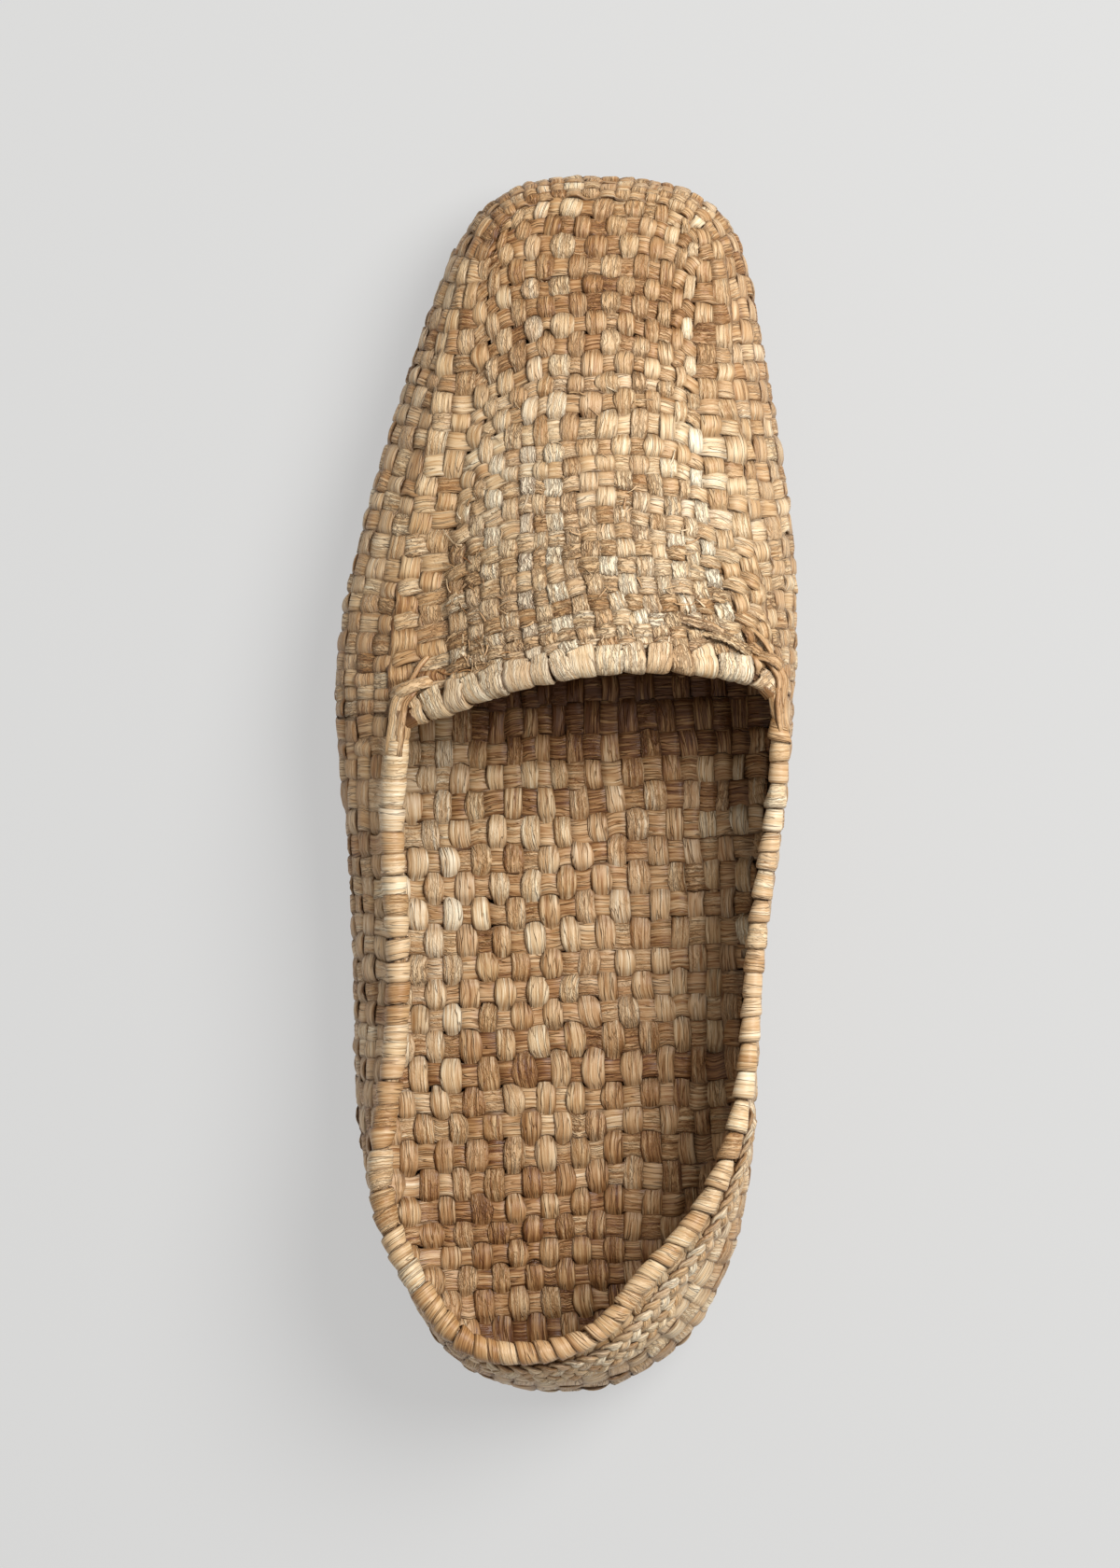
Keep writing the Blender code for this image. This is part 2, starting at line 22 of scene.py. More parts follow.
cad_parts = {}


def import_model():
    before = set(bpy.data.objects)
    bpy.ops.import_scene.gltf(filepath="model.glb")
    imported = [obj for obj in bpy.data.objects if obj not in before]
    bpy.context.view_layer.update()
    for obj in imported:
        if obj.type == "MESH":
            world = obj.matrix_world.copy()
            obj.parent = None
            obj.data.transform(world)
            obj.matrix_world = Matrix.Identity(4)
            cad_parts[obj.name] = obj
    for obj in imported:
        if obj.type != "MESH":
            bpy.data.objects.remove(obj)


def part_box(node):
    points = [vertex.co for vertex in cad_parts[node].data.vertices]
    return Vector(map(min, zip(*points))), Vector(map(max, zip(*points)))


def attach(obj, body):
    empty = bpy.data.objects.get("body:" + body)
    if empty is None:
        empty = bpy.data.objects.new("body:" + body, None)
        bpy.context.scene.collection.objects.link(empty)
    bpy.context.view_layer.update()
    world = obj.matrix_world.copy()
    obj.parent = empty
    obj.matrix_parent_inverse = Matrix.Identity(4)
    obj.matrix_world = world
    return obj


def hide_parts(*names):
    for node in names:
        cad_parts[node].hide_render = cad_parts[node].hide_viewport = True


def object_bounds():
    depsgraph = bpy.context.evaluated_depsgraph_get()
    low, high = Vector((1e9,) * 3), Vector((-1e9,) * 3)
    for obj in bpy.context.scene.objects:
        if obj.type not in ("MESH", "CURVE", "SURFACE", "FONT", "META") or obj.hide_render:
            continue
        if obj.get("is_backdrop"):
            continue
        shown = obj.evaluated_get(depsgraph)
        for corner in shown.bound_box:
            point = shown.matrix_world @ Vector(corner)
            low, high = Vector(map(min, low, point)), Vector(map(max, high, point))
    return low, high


Array = np.ndarray
Sizes = Array | float
Rng = np.random.Generator
Piece = bpy.types.Object
Material = bpy.types.Material
Socket = bpy.types.NodeSocket

MM = 0.001
WAVES = 9
LOG = logging.getLogger("straw_shoe")


class Slot(Enum):
    """Names of the material slots."""

    UPPER = "woven_straw"
    FOOTBED = "footbed_straw"
    SOLE = "sole_straw"
    COLLAR = "collar_straw"
    THROAT = "throat_straw"


# ---- small mathematics


def unit(vectors: Array) -> Array:
    """Vectors divided by their own length."""
    length = np.linalg.norm(vectors, axis=-1, keepdims=True)
    return vectors / np.maximum(length, 1e-9)


def square_to(vectors: Array, axis: Array) -> Array:
    """The part of each vector that is square to a unit axis: v - axis (v . axis)."""
    return vectors - axis * np.sum(vectors * axis, axis=-1, keepdims=True)


def running(steps: Array, axis: int = -1) -> Array:
    """The running sum of steps, starting at 0."""
    start = np.zeros_like(np.take(steps, [0], axis))
    return np.concatenate([start, np.cumsum(steps, axis=axis)], axis=axis)


def arc_lengths(points: Array) -> Array:
    """Distance along lines of points [..., sample, xyz] from their first one."""
    return running(np.linalg.norm(np.diff(points, axis=-2), axis=-1))


def read_table(place: Array, knots: Array, table: Array) -> Array:
    """Rows of a table read at places between its knots, column by column."""
    return np.stack([np.interp(place, knots, column) for column in table.T], axis=-1)


def fade(value: Array, low: float, high: float) -> Array:
    """Rises from 0 at low to 1 at high as 3t^2 - 2t^3."""
    t = np.clip((np.asarray(value, float) - low) / (high - low), 0, 1)
    return t * t * (3 - 2 * t)


def between(value: Array, start: float, end: float, outside: float, inside: float) -> Array:
    """1 from start to end and 0 far from them; both fades run so far outside and inside these ends."""
    rises = fade(value, start - outside, start + inside)
    return rises * (1 - fade(value, end - inside, end + outside))


def slope(values: Array, axis: int, closed: bool = False) -> Array:
    """Central differences along an axis, wrapped round where the line is closed."""
    if closed:
        return (np.roll(values, -1, axis) - np.roll(values, 1, axis)) / 2
    return np.gradient(values, axis=axis)


def eased(values: Array, times: int, closed: bool = False) -> Array:
    """Values [strand, sample, ...] averaged with their neighbours by weights 1-2-1 along the strand."""
    for _ in range(times):
        if closed:
            before, after = np.roll(values, 1, 1), np.roll(values, -1, 1)
        else:
            before = np.concatenate([values[:, :1], values[:, :-1]], axis=1)
            after = np.concatenate([values[:, 1:], values[:, -1:]], axis=1)
        values = (before + 2 * values + after) / 4
    return values


def periodic_slopes(knots: Array, values: Array) -> Array:
    """Slopes of the smooth closed cubic through values at knots; the last knot closes on the first."""
    step = np.diff(knots)
    count = len(step)
    before = np.roll(step, 1)
    chord = (np.roll(values[:-1], -1, axis=0) - values[:-1]) / step[:, None] ** 2
    chord_before = np.roll(chord, 1, axis=0)
    matrix = np.zeros((count, count))
    index = np.arange(count)
    matrix[index, index] = 2 / before + 2 / step
    matrix[index, (index + 1) % count] += 1 / step
    matrix[index, (index - 1) % count] += 1 / before
    slopes = np.linalg.solve(matrix, 3 * (chord + chord_before))
    return np.vstack([slopes, slopes[:1]])


def hermite(
    left: Array, right: Array, slope_left: Array, slope_right: Array, span: Array, t: Array
) -> Array:
    """The cubic between two values with given slopes at its ends.

    Args:
        left, right: Values at both ends.
        slope_left, slope_right: Slopes at both ends.
        span: Distance from start to end.
        t: Share of the span, 0 to 1.

    Returns:
        The values at t.
    """
    t2 = t * t
    t3 = t2 * t
    return (
        (2 * t3 - 3 * t2 + 1) * left
        + (t3 - 2 * t2 + t) * span * slope_left
        + (3 * t2 - 2 * t3) * right
        + (t3 - t2) * span * slope_right
    )


def wavy(u: Array, v: Array, seed: int, shortest: float = 3.5, longest: float = 11.0) -> Array:
    """A smooth random field of size about 1.

    Args:
        u: First coordinate.
        v: Second coordinate.
        seed: Picks the field.
        shortest: Shortest wave in it.
        longest: Longest wave in it.

    Returns:
        The sum of nine plane waves of random direction, length and phase, scaled to a spread of 1.
    """
    rng = np.random.default_rng(seed)
    total = 0.0
    lengths = rng.uniform(shortest, longest, WAVES)
    for length, turn, phase in zip(lengths, *rng.uniform(0, 2 * np.pi, (2, WAVES))):
        total = total + np.sin(2 * np.pi * (u * np.cos(turn) + v * np.sin(turn)) / length + phase)
    return total / math.sqrt(WAVES / 2)


def uneven_edges(count: int, spread: float, rng: Rng) -> Array:
    """Edges of count strips that together fill 0 to count, each 1 wide give or take the spread."""
    narrowest, widest = 0.6, 1.5
    widths = np.clip(1 + rng.normal(size=count) * spread, narrowest, widest)
    edges = running(widths)
    return edges * count / edges[-1]


# ---- the last


class Quarter(NamedTuple):
    """A section behind the throat: y, lateral and medial are shares of length and width, the rest mm."""

    name: str
    y: float
    lateral: float
    medial: float
    foot_in: float
    belly_z: float
    rim_lateral: float
    rim_medial: float
    rim_z: float


class Vamp(NamedTuple):
    """A section in front of the throat; top_ are insets and z_ heights of the ridge on each side."""

    name: str
    y: float
    lateral: float
    medial: float
    foot_in: float
    belly_z: float
    top_lateral: float
    top_medial: float
    z_lateral: float
    z_medial: float
    slope: float


QUARTERS = [
    Quarter("heel_end", -0.500, 0.030, 0.030, 3.0, 12.0, 9.0, 9.0, 42.0),
    Quarter("heel_curve", -0.477, -0.174, 0.246, 3.4, 13.0, 5.5, 12.0, 42.0),
    Quarter("heel_turn", -0.423, -0.283, 0.375, 4.0, 15.0, 3.2, 13.0, 41.0),
    Quarter("heel", -0.346, -0.374, 0.440, 4.6, 17.0, 2.4, 6.8, 38.5),
    Quarter("waist_back", -0.238, -0.423, 0.458, 5.0, 18.0, 6.8, 1.2, 35.5),
    Quarter("waist", -0.135, -0.441, 0.461, 5.2, 19.0, 8.2, 0.6, 34.5),
    Quarter("midfoot", -0.031, -0.470, 0.489, 5.6, 19.5, 8.8, 0.9, 35.0),
    Quarter("throat", 0.062, -0.500, 0.501, 6.0, 20.0, 12.8, 1.6, 36.5),
]
VAMPS = [
    Vamp("ball", 0.146, -0.485, 0.501, 6.0, 20.5, 22.5, 13.0, 37.0, 40.0, 0.45),
    Vamp("tread", 0.238, -0.437, 0.474, 6.0, 19.5, 19.5, 17.0, 35.5, 38.0, 0.40),
    Vamp("toe_box", 0.338, -0.367, 0.420, 6.0, 18.0, 15.0, 15.5, 32.5, 34.5, 0.35),
    Vamp("toe_side", 0.415, -0.304, 0.372, 5.5, 17.0, 8.5, 12.5, 29.5, 30.5, 0.30),
    Vamp("toe_turn", 0.462, -0.241, 0.324, 5.0, 16.0, 6.5, 8.5, 28.0, 28.5, 0.25),
    Vamp("toe_front", 0.487, -0.163, 0.250, 5.0, 16.0, 5.8, 6.2, 27.0, 27.0, 0.25),
    Vamp("toe_end", 0.500, 0.045, 0.045, 5.0, 16.0, 5.6, 5.6, 27.0, 27.0, 0.25),
]


@dataclass(frozen=True)
class ShoeSizes:
    """Driving sizes in millimetres; length and width are set from the frame."""

    length: float
    ball_width: float
    wall: float = 2.6
    sole: float = 5.0
    gap: float = 0.3
    toe_spring: float = 3.0
    toe_spring_from: float = 0.28
    waist_rise: float = 0.8
    waist_from: float = -0.24
    waist_to: float = 0.06
    rim_row: float = 7.0
    ridge_row: float = 9.0
    belly_row: float = 3.0
    close_in: float = 1.8
    close_more: float = 2.0
    close_up: float = 4.5
    close_slope: float = 0.5
    foot_flare: float = 1.5
    ridge_ease: float = 1.3
    belt_in: float = 0.5
    belt_up: float = 0.8

    RELIEF = 0.5

    @classmethod
    def from_frame(cls) -> ShoeSizes:
        """Length and width of the last under the upper's raised strips.

        Returns:
            The sizes, with the upper's box less the relief of its weave on both sides of each axis.
        """
        low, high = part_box("upper")
        box = (np.array(high) - np.array(low)) / MM
        share = max(s.medial for s in QUARTERS + VAMPS) - min(s.lateral for s in QUARTERS + VAMPS)
        bare = box - 2 * cls.RELIEF
        return cls(length=round(bare[1]), ball_width=round(bare[0] / share))

    def tread_z(self, y: Array) -> Array:
        """Height of the sole's underside over the floor: the toe springs up and the waist arches.

        Args:
            y: Places along the shoe in mm.

        Returns:
            Rise in mm: a parabola at the toe and one sine-squared hump at the waist.
        """
        share = np.asarray(y) / self.length
        toe = np.clip((share - self.toe_spring_from) / (0.5 - self.toe_spring_from), 0, 1)
        waist = np.clip((share - self.waist_from) / (self.waist_to - self.waist_from), 0, 1)
        return self.toe_spring * toe**2 + self.waist_rise * np.sin(np.pi * waist) ** 2


class Last:
    """The outer surface of the shoe as functions of a place round it and a row up its wall."""

    SAMPLES = 1200

    def __init__(self, sizes: ShoeSizes) -> None:
        """Runs the smooth closed cubic through the stations of the two tables."""
        self.sizes = sizes
        rows = self._loop_rows()
        rows = np.vstack([rows, rows[:1]])
        knots = arc_lengths(rows[:, :2])
        slopes = periodic_slopes(knots, rows)
        at = np.linspace(0, knots[-1], self.SAMPLES + 1)
        left = np.clip(np.searchsorted(knots, at, side="right") - 1, 0, len(knots) - 2)
        span = np.diff(knots)[left, None]
        t = (at[:, None] - knots[left, None]) / span
        self.dense = hermite(rows[left], rows[left + 1], slopes[left], slopes[left + 1], span, t)
        self.arc = arc_lengths(self.dense[:, :2])
        self.length = self.arc[-1]
        self.toe_arc = self.arc[np.argmax(self.dense[:, 1])]

    def _loop_rows(self) -> Array:
        """The stations round the last, heel to toe on the lateral side and back on the medial side."""
        z = self.sizes

        def foot(section: Quarter | Vamp, x: float) -> tuple[float, ...]:
            """The columns that both kinds of station share."""
            return x * z.ball_width, section.y * z.length, section.foot_in, section.belly_z

        def quarter_row(section: Quarter, x: float, rim_in: float) -> tuple[float, ...]:
            """A station behind the throat, whose wall ends at the rim and would close in above it."""
            top_in, top_z = rim_in * z.close_in + z.close_more, section.rim_z + z.close_up
            return (*foot(section, x), rim_in, section.rim_z, top_in, top_z, z.close_slope)

        def vamp_row(section: Vamp, x: float, top_in: float, top_z: float) -> tuple[float, ...]:
            """A station of the vamp, whose rim row lies between the belly and the ridge."""
            belt_z = section.belly_z + z.belt_up * (top_z - section.belly_z)
            return (*foot(section, x), top_in * z.belt_in, belt_z, top_in, top_z, section.slope)

        lateral = [quarter_row(q, q.lateral, q.rim_lateral) for q in QUARTERS]
        lateral += [vamp_row(v, v.lateral, v.top_lateral, v.z_lateral) for v in VAMPS]
        medial = [quarter_row(q, q.medial, q.rim_medial) for q in QUARTERS[1:]]
        medial += [vamp_row(v, v.medial, v.top_medial, v.z_medial) for v in VAMPS[:-1]]
        return np.array(lateral + medial[::-1])

    def columns(self, s: Array) -> Array:
        """All columns of the station at arc length s round the outline."""
        return read_table(np.mod(s, self.length), self.arc, self.dense)

    def inward(self, s: Array) -> Array:
        """The unit vector in plan that points into the shoe at s."""
        step = 1.5
        ahead = unit(self.columns(s + step)[..., :2] - self.columns(s - step)[..., :2])
        return np.stack([ahead[..., 1], -ahead[..., 0]], axis=-1)

    def place(self, y_share: float, side: int) -> float:
        """The arc length where the outline passes y on that side: lateral is -1, medial is 1."""
        lateral = self.arc <= self.toe_arc
        chosen = lateral if side < 0 else ~lateral
        near = np.argmin(np.where(chosen, np.abs(self.dense[:, 1] - y_share * self.sizes.length), np.inf))
        return float(self.arc[near])

    def wall(self, s: Array, row: Array) -> Array:
        """Points of the outer surface.

        The wall's profile is a cubic in inset and height through the foot, the belly, the rim and the
        ridge, whose values come from the station at s.

        Args:
            s: Arc length round the outline in mm.
            row: 0 at the lower edge, sizes.rim_row at the rim, sizes.ridge_row at the vamp's ridge.

        Returns:
            Points [..., xyz] in mm.
        """
        z = self.sizes
        s, row = np.broadcast_arrays(np.asarray(s, float), np.asarray(row, float))
        x, y, foot_in, belly_z, rim_in, rim_z, top_in, top_z, slant = np.moveaxis(self.columns(s), -1, 0)
        foot_z = z.tread_z(y) + z.sole + z.gap
        to_top = z.ridge_row - z.belly_row
        ease = z.ridge_ease * (top_in - rim_in) / (z.ridge_row - z.rim_row)
        rows = [0.0, z.belly_row, z.rim_row, z.ridge_row]
        knots = [(foot_in, foot_z), (0 * foot_in, belly_z), (rim_in, rim_z), (top_in, top_z)]
        slopes = [
            (-z.foot_flare * foot_in / z.belly_row, (belly_z - foot_z) / z.belly_row),
            (0 * foot_in, (rim_z - foot_z) / z.rim_row),
            (top_in / to_top, (top_z - belly_z) / to_top),
            (ease, ease * slant),
        ]
        knots, slopes = np.array(knots), np.array(slopes)
        profile = np.zeros_like(knots[0])
        for k in range(3):
            span = rows[k + 1] - rows[k]
            t = np.clip((row - rows[k]) / span, 0, 1)
            here = (row >= rows[k]) if k else np.ones_like(row, bool)
            piece = hermite(knots[k], knots[k + 1], slopes[k], slopes[k + 1], span, t)
            profile = np.where(here, piece, profile)
        inset, height = profile
        plan = np.stack([x, y], axis=-1) + self.inward(s) * inset[..., None]
        return np.concatenate([plan, height[..., None]], axis=-1)


# ---- the basket


@dataclass
class Basket:
    """The weave laid on the last.

    A ring coordinate counts the stakes from the lateral throat corner forward round the toe and back round
    the heel; stake k lies at k + 0.5. A level counts the rows up the wall: the rim is at `rows` and the
    vamp's ridge at `vamp_rows`. On the panel, `across` counts the warps from the lateral ridge and `along`
    counts the wefts from the throat.
    """

    last: Last
    wefts: int = 25
    warps: int = 16
    quarter: int = 68
    rows: int = 7
    vamp_rows: int = 9
    throat_lateral: float = 0.049
    throat_medial: float = 0.083
    toe_lateral: float = 0.466
    toe_medial: float = 0.474
    arch: float = 5.0
    lean_lateral: float = 7.0
    lean_medial: float = 5.5
    crown_throat: float = 9.0
    crown_toe: float = 1.6
    crown_fullness: float = 0.9
    crown_toe_drop: int = 6
    toe_stretch: float = 0.22
    toe_rows: float = 0.50
    strip_spread: float = 0.15
    drift: float = 0.11
    seed: int = 5

    # Stake spacing in mm at shares of the way from the medial throat corner round the heel.
    SPACING_AT = (0.0, 0.30, 0.42, 0.58, 0.70, 1.0)
    SPACING = (5.5, 5.4, 5.3, 5.5, 5.0, 4.7)
    # Columns and rows of the table of climbs, and its levels for each row of the weave.
    GRID = 900
    PROFILE = 127
    LEVEL_STEPS = 8
    # The drift is read on a circle about as long round as there are stakes, so that it closes.
    CIRCLE = 6.28
    # The tall rows of the toe fade out over these many stakes outside and inside both toe corners.
    TOE_FADE = (9, 1)
    # How much more the panel drifts than the wall.
    PANEL_DRIFT = 1.4

    def __post_init__(self) -> None:
        """Draws the uneven strips, then works out where each lies round the last and up its wall."""
        self._draw_edges()
        self._place_ring()
        self._place_rows()

    def _draw_edges(self) -> None:
        """Edges of the wefts, the warps, the rows and all stakes of the ring, each a little uneven."""
        rng = np.random.default_rng(self.seed)
        spread_rows, spread_quarter = 0.6 * self.strip_spread, 1.3 * self.strip_spread
        self.weft_edges = uneven_edges(self.wefts, self.strip_spread, rng)
        self.warp_edges = uneven_edges(self.warps, self.strip_spread, rng)
        quarter = uneven_edges(self.quarter, spread_quarter, rng)
        below = uneven_edges(self.rows, spread_rows, rng)
        over = self.rows + uneven_edges(self.vamp_rows - self.rows, spread_rows, rng)
        self.row_edges = np.concatenate([below, over[1:]])
        mirrored = self.vamp_end - self.weft_edges[::-1]
        toe = self.wefts + self.warp_edges[1:]
        around = [self.weft_edges, toe, mirrored[1:], self.vamp_end + quarter[1:]]
        self.ring_edges = np.concatenate(around)

    def _place_ring(self) -> None:
        """Arc lengths of the ring coordinates along the vamp's two sides, the toe and the quarters."""
        lateral, toe_lateral = (self.last.place(y, -1) for y in (self.throat_lateral, self.toe_lateral))
        toe_medial, medial = (self.last.place(y, 1) for y in (self.toe_medial, self.throat_medial))
        self.ends = (lateral, toe_lateral, toe_medial, medial)
        t = np.linspace(0, 1, self.GRID)
        vamp = self.spread(t)
        count = running(1 / np.interp((t[1:] + t[:-1]) / 2, self.SPACING_AT, self.SPACING))
        rings = (
            t * self.wefts,
            self.wefts + t * self.warps,
            self.toe_end + t * self.wefts,
            self.vamp_end + count / count[-1] * self.quarter,
        )
        arcs = (
            lateral + (toe_lateral - lateral) * vamp,
            toe_lateral + (toe_medial - toe_lateral) * t,
            medial + (toe_medial - medial) * vamp[::-1],
            medial + (lateral + self.last.length - medial) * t,
        )
        self._ring, self._arc = np.concatenate(rings), np.concatenate(arcs)

    def _place_rows(self) -> None:
        """The last's row for every level: equal climbs up to the rim, and again up to the ridge."""
        last = self.last
        arc = np.linspace(0, last.length, self.GRID, endpoint=False)
        row = np.linspace(0, last.sizes.ridge_row, self.PROFILE)
        climb = arc_lengths(last.wall(arc[:, None], row[None]))
        rim = climb[:, np.searchsorted(row, last.sizes.rim_row)][:, None]
        levels = np.arange(self.vamp_rows * self.LEVEL_STEPS + 1) / self.LEVEL_STEPS
        low = np.clip(levels / self.rows, 0, 1)
        high = np.clip((levels - self.rows) / (self.vamp_rows - self.rows), 0, 1)
        wanted = low * rim + high * (climb[:, -1:] - rim)
        apart = (np.arange(self.GRID) * 2 * climb.max())[:, None]
        found = np.interp((wanted + apart).ravel(), (climb + apart).ravel(), np.tile(row, self.GRID))
        self._rows = found.reshape(wanted.shape)

    @property
    def toe_end(self) -> int:
        """Ring coordinate of the medial toe corner."""
        return self.wefts + self.warps

    @property
    def vamp_end(self) -> int:
        """Ring coordinate of the medial throat corner."""
        return 2 * self.wefts + self.warps

    @property
    def stakes(self) -> int:
        """Stakes in the whole ring; an even number closes the weave."""
        return self.vamp_end + self.quarter

    def spread(self, share: Array) -> Array:
        """Wefts lie closer at the throat than at the toe: t + k (t^2 - t)."""
        return share + self.toe_stretch * (share * share - share)

    def arc_at(self, ring: Array) -> Array:
        """Arc length round the outline at a ring coordinate, also past its ends, with uneven stakes."""
        turns = np.floor(np.asarray(ring) / self.stakes)
        uneven = np.interp(ring - turns * self.stakes, np.arange(self.stakes + 1), self.ring_edges)
        return np.interp(uneven, self._ring, self._arc) + turns * self.last.length

    def row_at(self, arc: Array, level: Array) -> Array:
        """The last's row at a level, read off the table of equal climbs between two neighbours each way."""
        place = np.mod(arc, self.last.length) / self.last.length * self.GRID
        i = np.floor(place).astype(int) % self.GRID
        f = place - np.floor(place)
        rise = np.interp(level, np.arange(self.vamp_rows + 1), self.row_edges) * self.LEVEL_STEPS
        j = np.clip(np.floor(rise).astype(int), 0, self._rows.shape[1] - 2)
        g = rise - j
        after = (i + 1) % self.GRID
        here = self._rows[i, j] * (1 - g) + self._rows[i, j + 1] * g
        there = self._rows[after, j] * (1 - g) + self._rows[after, j + 1] * g
        return here * (1 - f) + there * f

    def wall(self, ring: Array, level: Array) -> Array:
        """Points of the wall's outer surface at ring coordinates and levels.

        Stakes beside the throat lean forward above the rim's level, less and less towards the toe, where
        the rows grow taller from the foot to the ridge. Both coordinates drift a little, and not at all
        at the foot, at the rim and at the ridge.

        Args:
            ring: Ring coordinates.
            level: Levels, which broadcast with them.

        Returns:
            Points [..., xyz] in mm.
        """
        ring, level = np.broadcast_arrays(np.asarray(ring, float), np.asarray(level, float))
        on_vamp = (ring >= 0) & (ring <= self.vamp_end)
        top = np.where(on_vamp, self.vamp_rows, self.rows)
        free = self.drift * np.sin(np.pi * np.clip(level / top, 0, 1))
        turn = 2 * np.pi * ring / self.stakes
        round_u, round_v = (swing(turn) * self.stakes / self.CIRCLE for swing in (np.cos, np.sin))
        toe = between(ring, self.wefts, self.toe_end, *self.TOE_FADE)
        level = level + free * wavy(round_u + level, round_v, self.seed + 1)
        level = level + self.toe_rows * toe * level * (level / self.vamp_rows - 1)
        arc = self.arc_at(ring + free * wavy(round_u, round_v + level, self.seed + 2))
        lateral, toe_lateral, toe_medial, medial = self.ends
        over = np.clip((level - self.rows) / (self.vamp_rows - self.rows), 0, 1)
        share_lateral = np.clip((toe_lateral - arc) / (toe_lateral - lateral), 0, 1)
        share_lateral = np.where(ring < self.wefts, share_lateral, 0)
        share_medial = np.clip((arc - toe_medial) / (medial - toe_medial), 0, 1)
        share_medial = np.where((ring > self.toe_end) & (ring <= self.vamp_end + 1), share_medial, 0)
        arc = arc + over * (self.lean_lateral * share_lateral - self.lean_medial * share_medial)
        return self.last.wall(arc, self.row_at(arc, level))

    def panel(self, across: Array, along: Array) -> Array:
        """Points of the vamp panel's outer surface.

        A Coons patch between the two ridges, the toe's ridge and the arched throat, with a crown of
        sine shape added across it.

        Args:
            across: 0 at the lateral ridge, `warps` at the medial one.
            along: 0 at the throat, `wefts` at the toe.

        Returns:
            Points [..., xyz] in mm.
        """
        across, along = np.broadcast_arrays(np.asarray(across, float), np.asarray(along, float))
        inside = np.sin(np.pi * np.clip(across / self.warps, 0, 1))
        free = self.drift * inside * np.sin(np.pi * np.clip(along / self.wefts, 0, 1)) ** 0.5
        moved = along + self.PANEL_DRIFT * free * wavy(across, along, self.seed + 3)
        across = across + self.PANEL_DRIFT * free * wavy(across, along, self.seed + 4)
        along = moved
        top = np.full_like(along, self.vamp_rows)
        steps_across, steps_along = np.arange(self.warps + 1), np.arange(self.wefts + 1)
        u = (np.interp(across, steps_across, self.warp_edges) / self.warps)[..., None]
        real = np.interp(along, steps_along, self.weft_edges) + np.minimum(along, 0)
        v = self.spread(real / self.wefts)[..., None]
        lateral = self.wall(np.maximum(along, 0), top)
        medial = self.wall(self.vamp_end - np.maximum(along, 0), top)
        corner = [self.wall(ring, self.vamp_rows) for ring in (0, self.vamp_end, self.wefts, self.toe_end)]
        throat = (1 - u) * corner[0] + u * corner[1]
        throat[..., 1] += self.arch * 4 * (u * (1 - u))[..., 0]
        front = self.wall(self.wefts + across, top)
        low = (1 - u) * corner[0] + u * corner[1]
        high = (1 - u) * corner[2] + u * corner[3]
        points = (1 - u) * lateral + u * medial + (1 - v) * throat + v * front - (1 - v) * low - v * high
        hump = np.sin(np.pi * np.clip(u[..., 0], 0, 1)) ** self.crown_fullness
        v = np.clip(v[..., 0], 0, 1)
        crown = self.crown_throat * (1 - v) + self.crown_toe * (1 - v**self.crown_toe_drop)
        points[..., 2] += crown * hump
        return points

    def weft_path(self, count: Array, along: Array) -> Array:
        """A weft from the lateral foot over the panel to the medial foot, by crossings passed."""
        count, along = np.broadcast_arrays(np.asarray(count, float), np.asarray(along, float))
        rows, warps = self.vamp_rows, self.warps
        lateral = self.wall(along, np.clip(count, 0, rows))
        middle = self.panel(np.clip(count - rows, 0, warps), along)
        medial = self.wall(self.vamp_end - along, np.clip(2 * rows + warps - count, 0, rows))
        points = np.where((count < rows)[..., None], lateral, middle)
        return np.where((count > rows + warps)[..., None], medial, points)

    def warp_path(self, count: Array, across: Array) -> Array:
        """A warp from the throat over the panel and down the front of the toe, by crossings passed."""
        count, across = np.broadcast_arrays(np.asarray(count, float), np.asarray(across, float))
        over = self.panel(across, np.clip(count, -1, self.wefts))
        level = np.clip(self.vamp_rows + self.wefts - count, 0, self.vamp_rows)
        down = self.wall(self.wefts + across, level)
        return np.where((count <= self.wefts)[..., None], over, down)


# ---- ribbons of straw


@dataclass(frozen=True)
class Cell:
    """Shape of a strip between crossings. Widths are half widths as shares of the strip spacing.

    lift is how far its middle stands off the middle of the weave where it crosses over, thick is half its
    thickness, both mm. rise is the power that flattens the hump between crossings.
    """

    lift: float
    thick: float
    over: float
    edge: float
    under: float
    rise: float

    def mixed(self, other: Cell, weight: Array) -> dict[str, Array]:
        """Each size at its place between this shape, at weight 0, and the other, at weight 1."""
        mine, others = vars(self), vars(other)
        return {name: mine[name] * (1 - weight) + others[name] * weight for name in mine}


PILLOW = Cell(lift=0.46, thick=0.56, over=0.51, edge=0.56, under=0.59, rise=0.42)
SEED_WARP = Cell(lift=0.58, thick=0.64, over=0.65, edge=0.52, under=0.42, rise=0.50)
SEED_WEFT = Cell(lift=0.24, thick=0.52, over=0.44, edge=0.52, under=0.54, rise=0.60)
WRAP = Cell(lift=0.0, thick=0.56, over=0.55, edge=0.55, under=0.55, rise=1.0)


def add_object(name: str, data: bpy.types.ID) -> Piece:
    """A new object in the scene, at the origin, that shows a mesh, a light or a camera."""
    made = bpy.data.objects.new(name, data)
    bpy.context.scene.collection.objects.link(made)
    return made


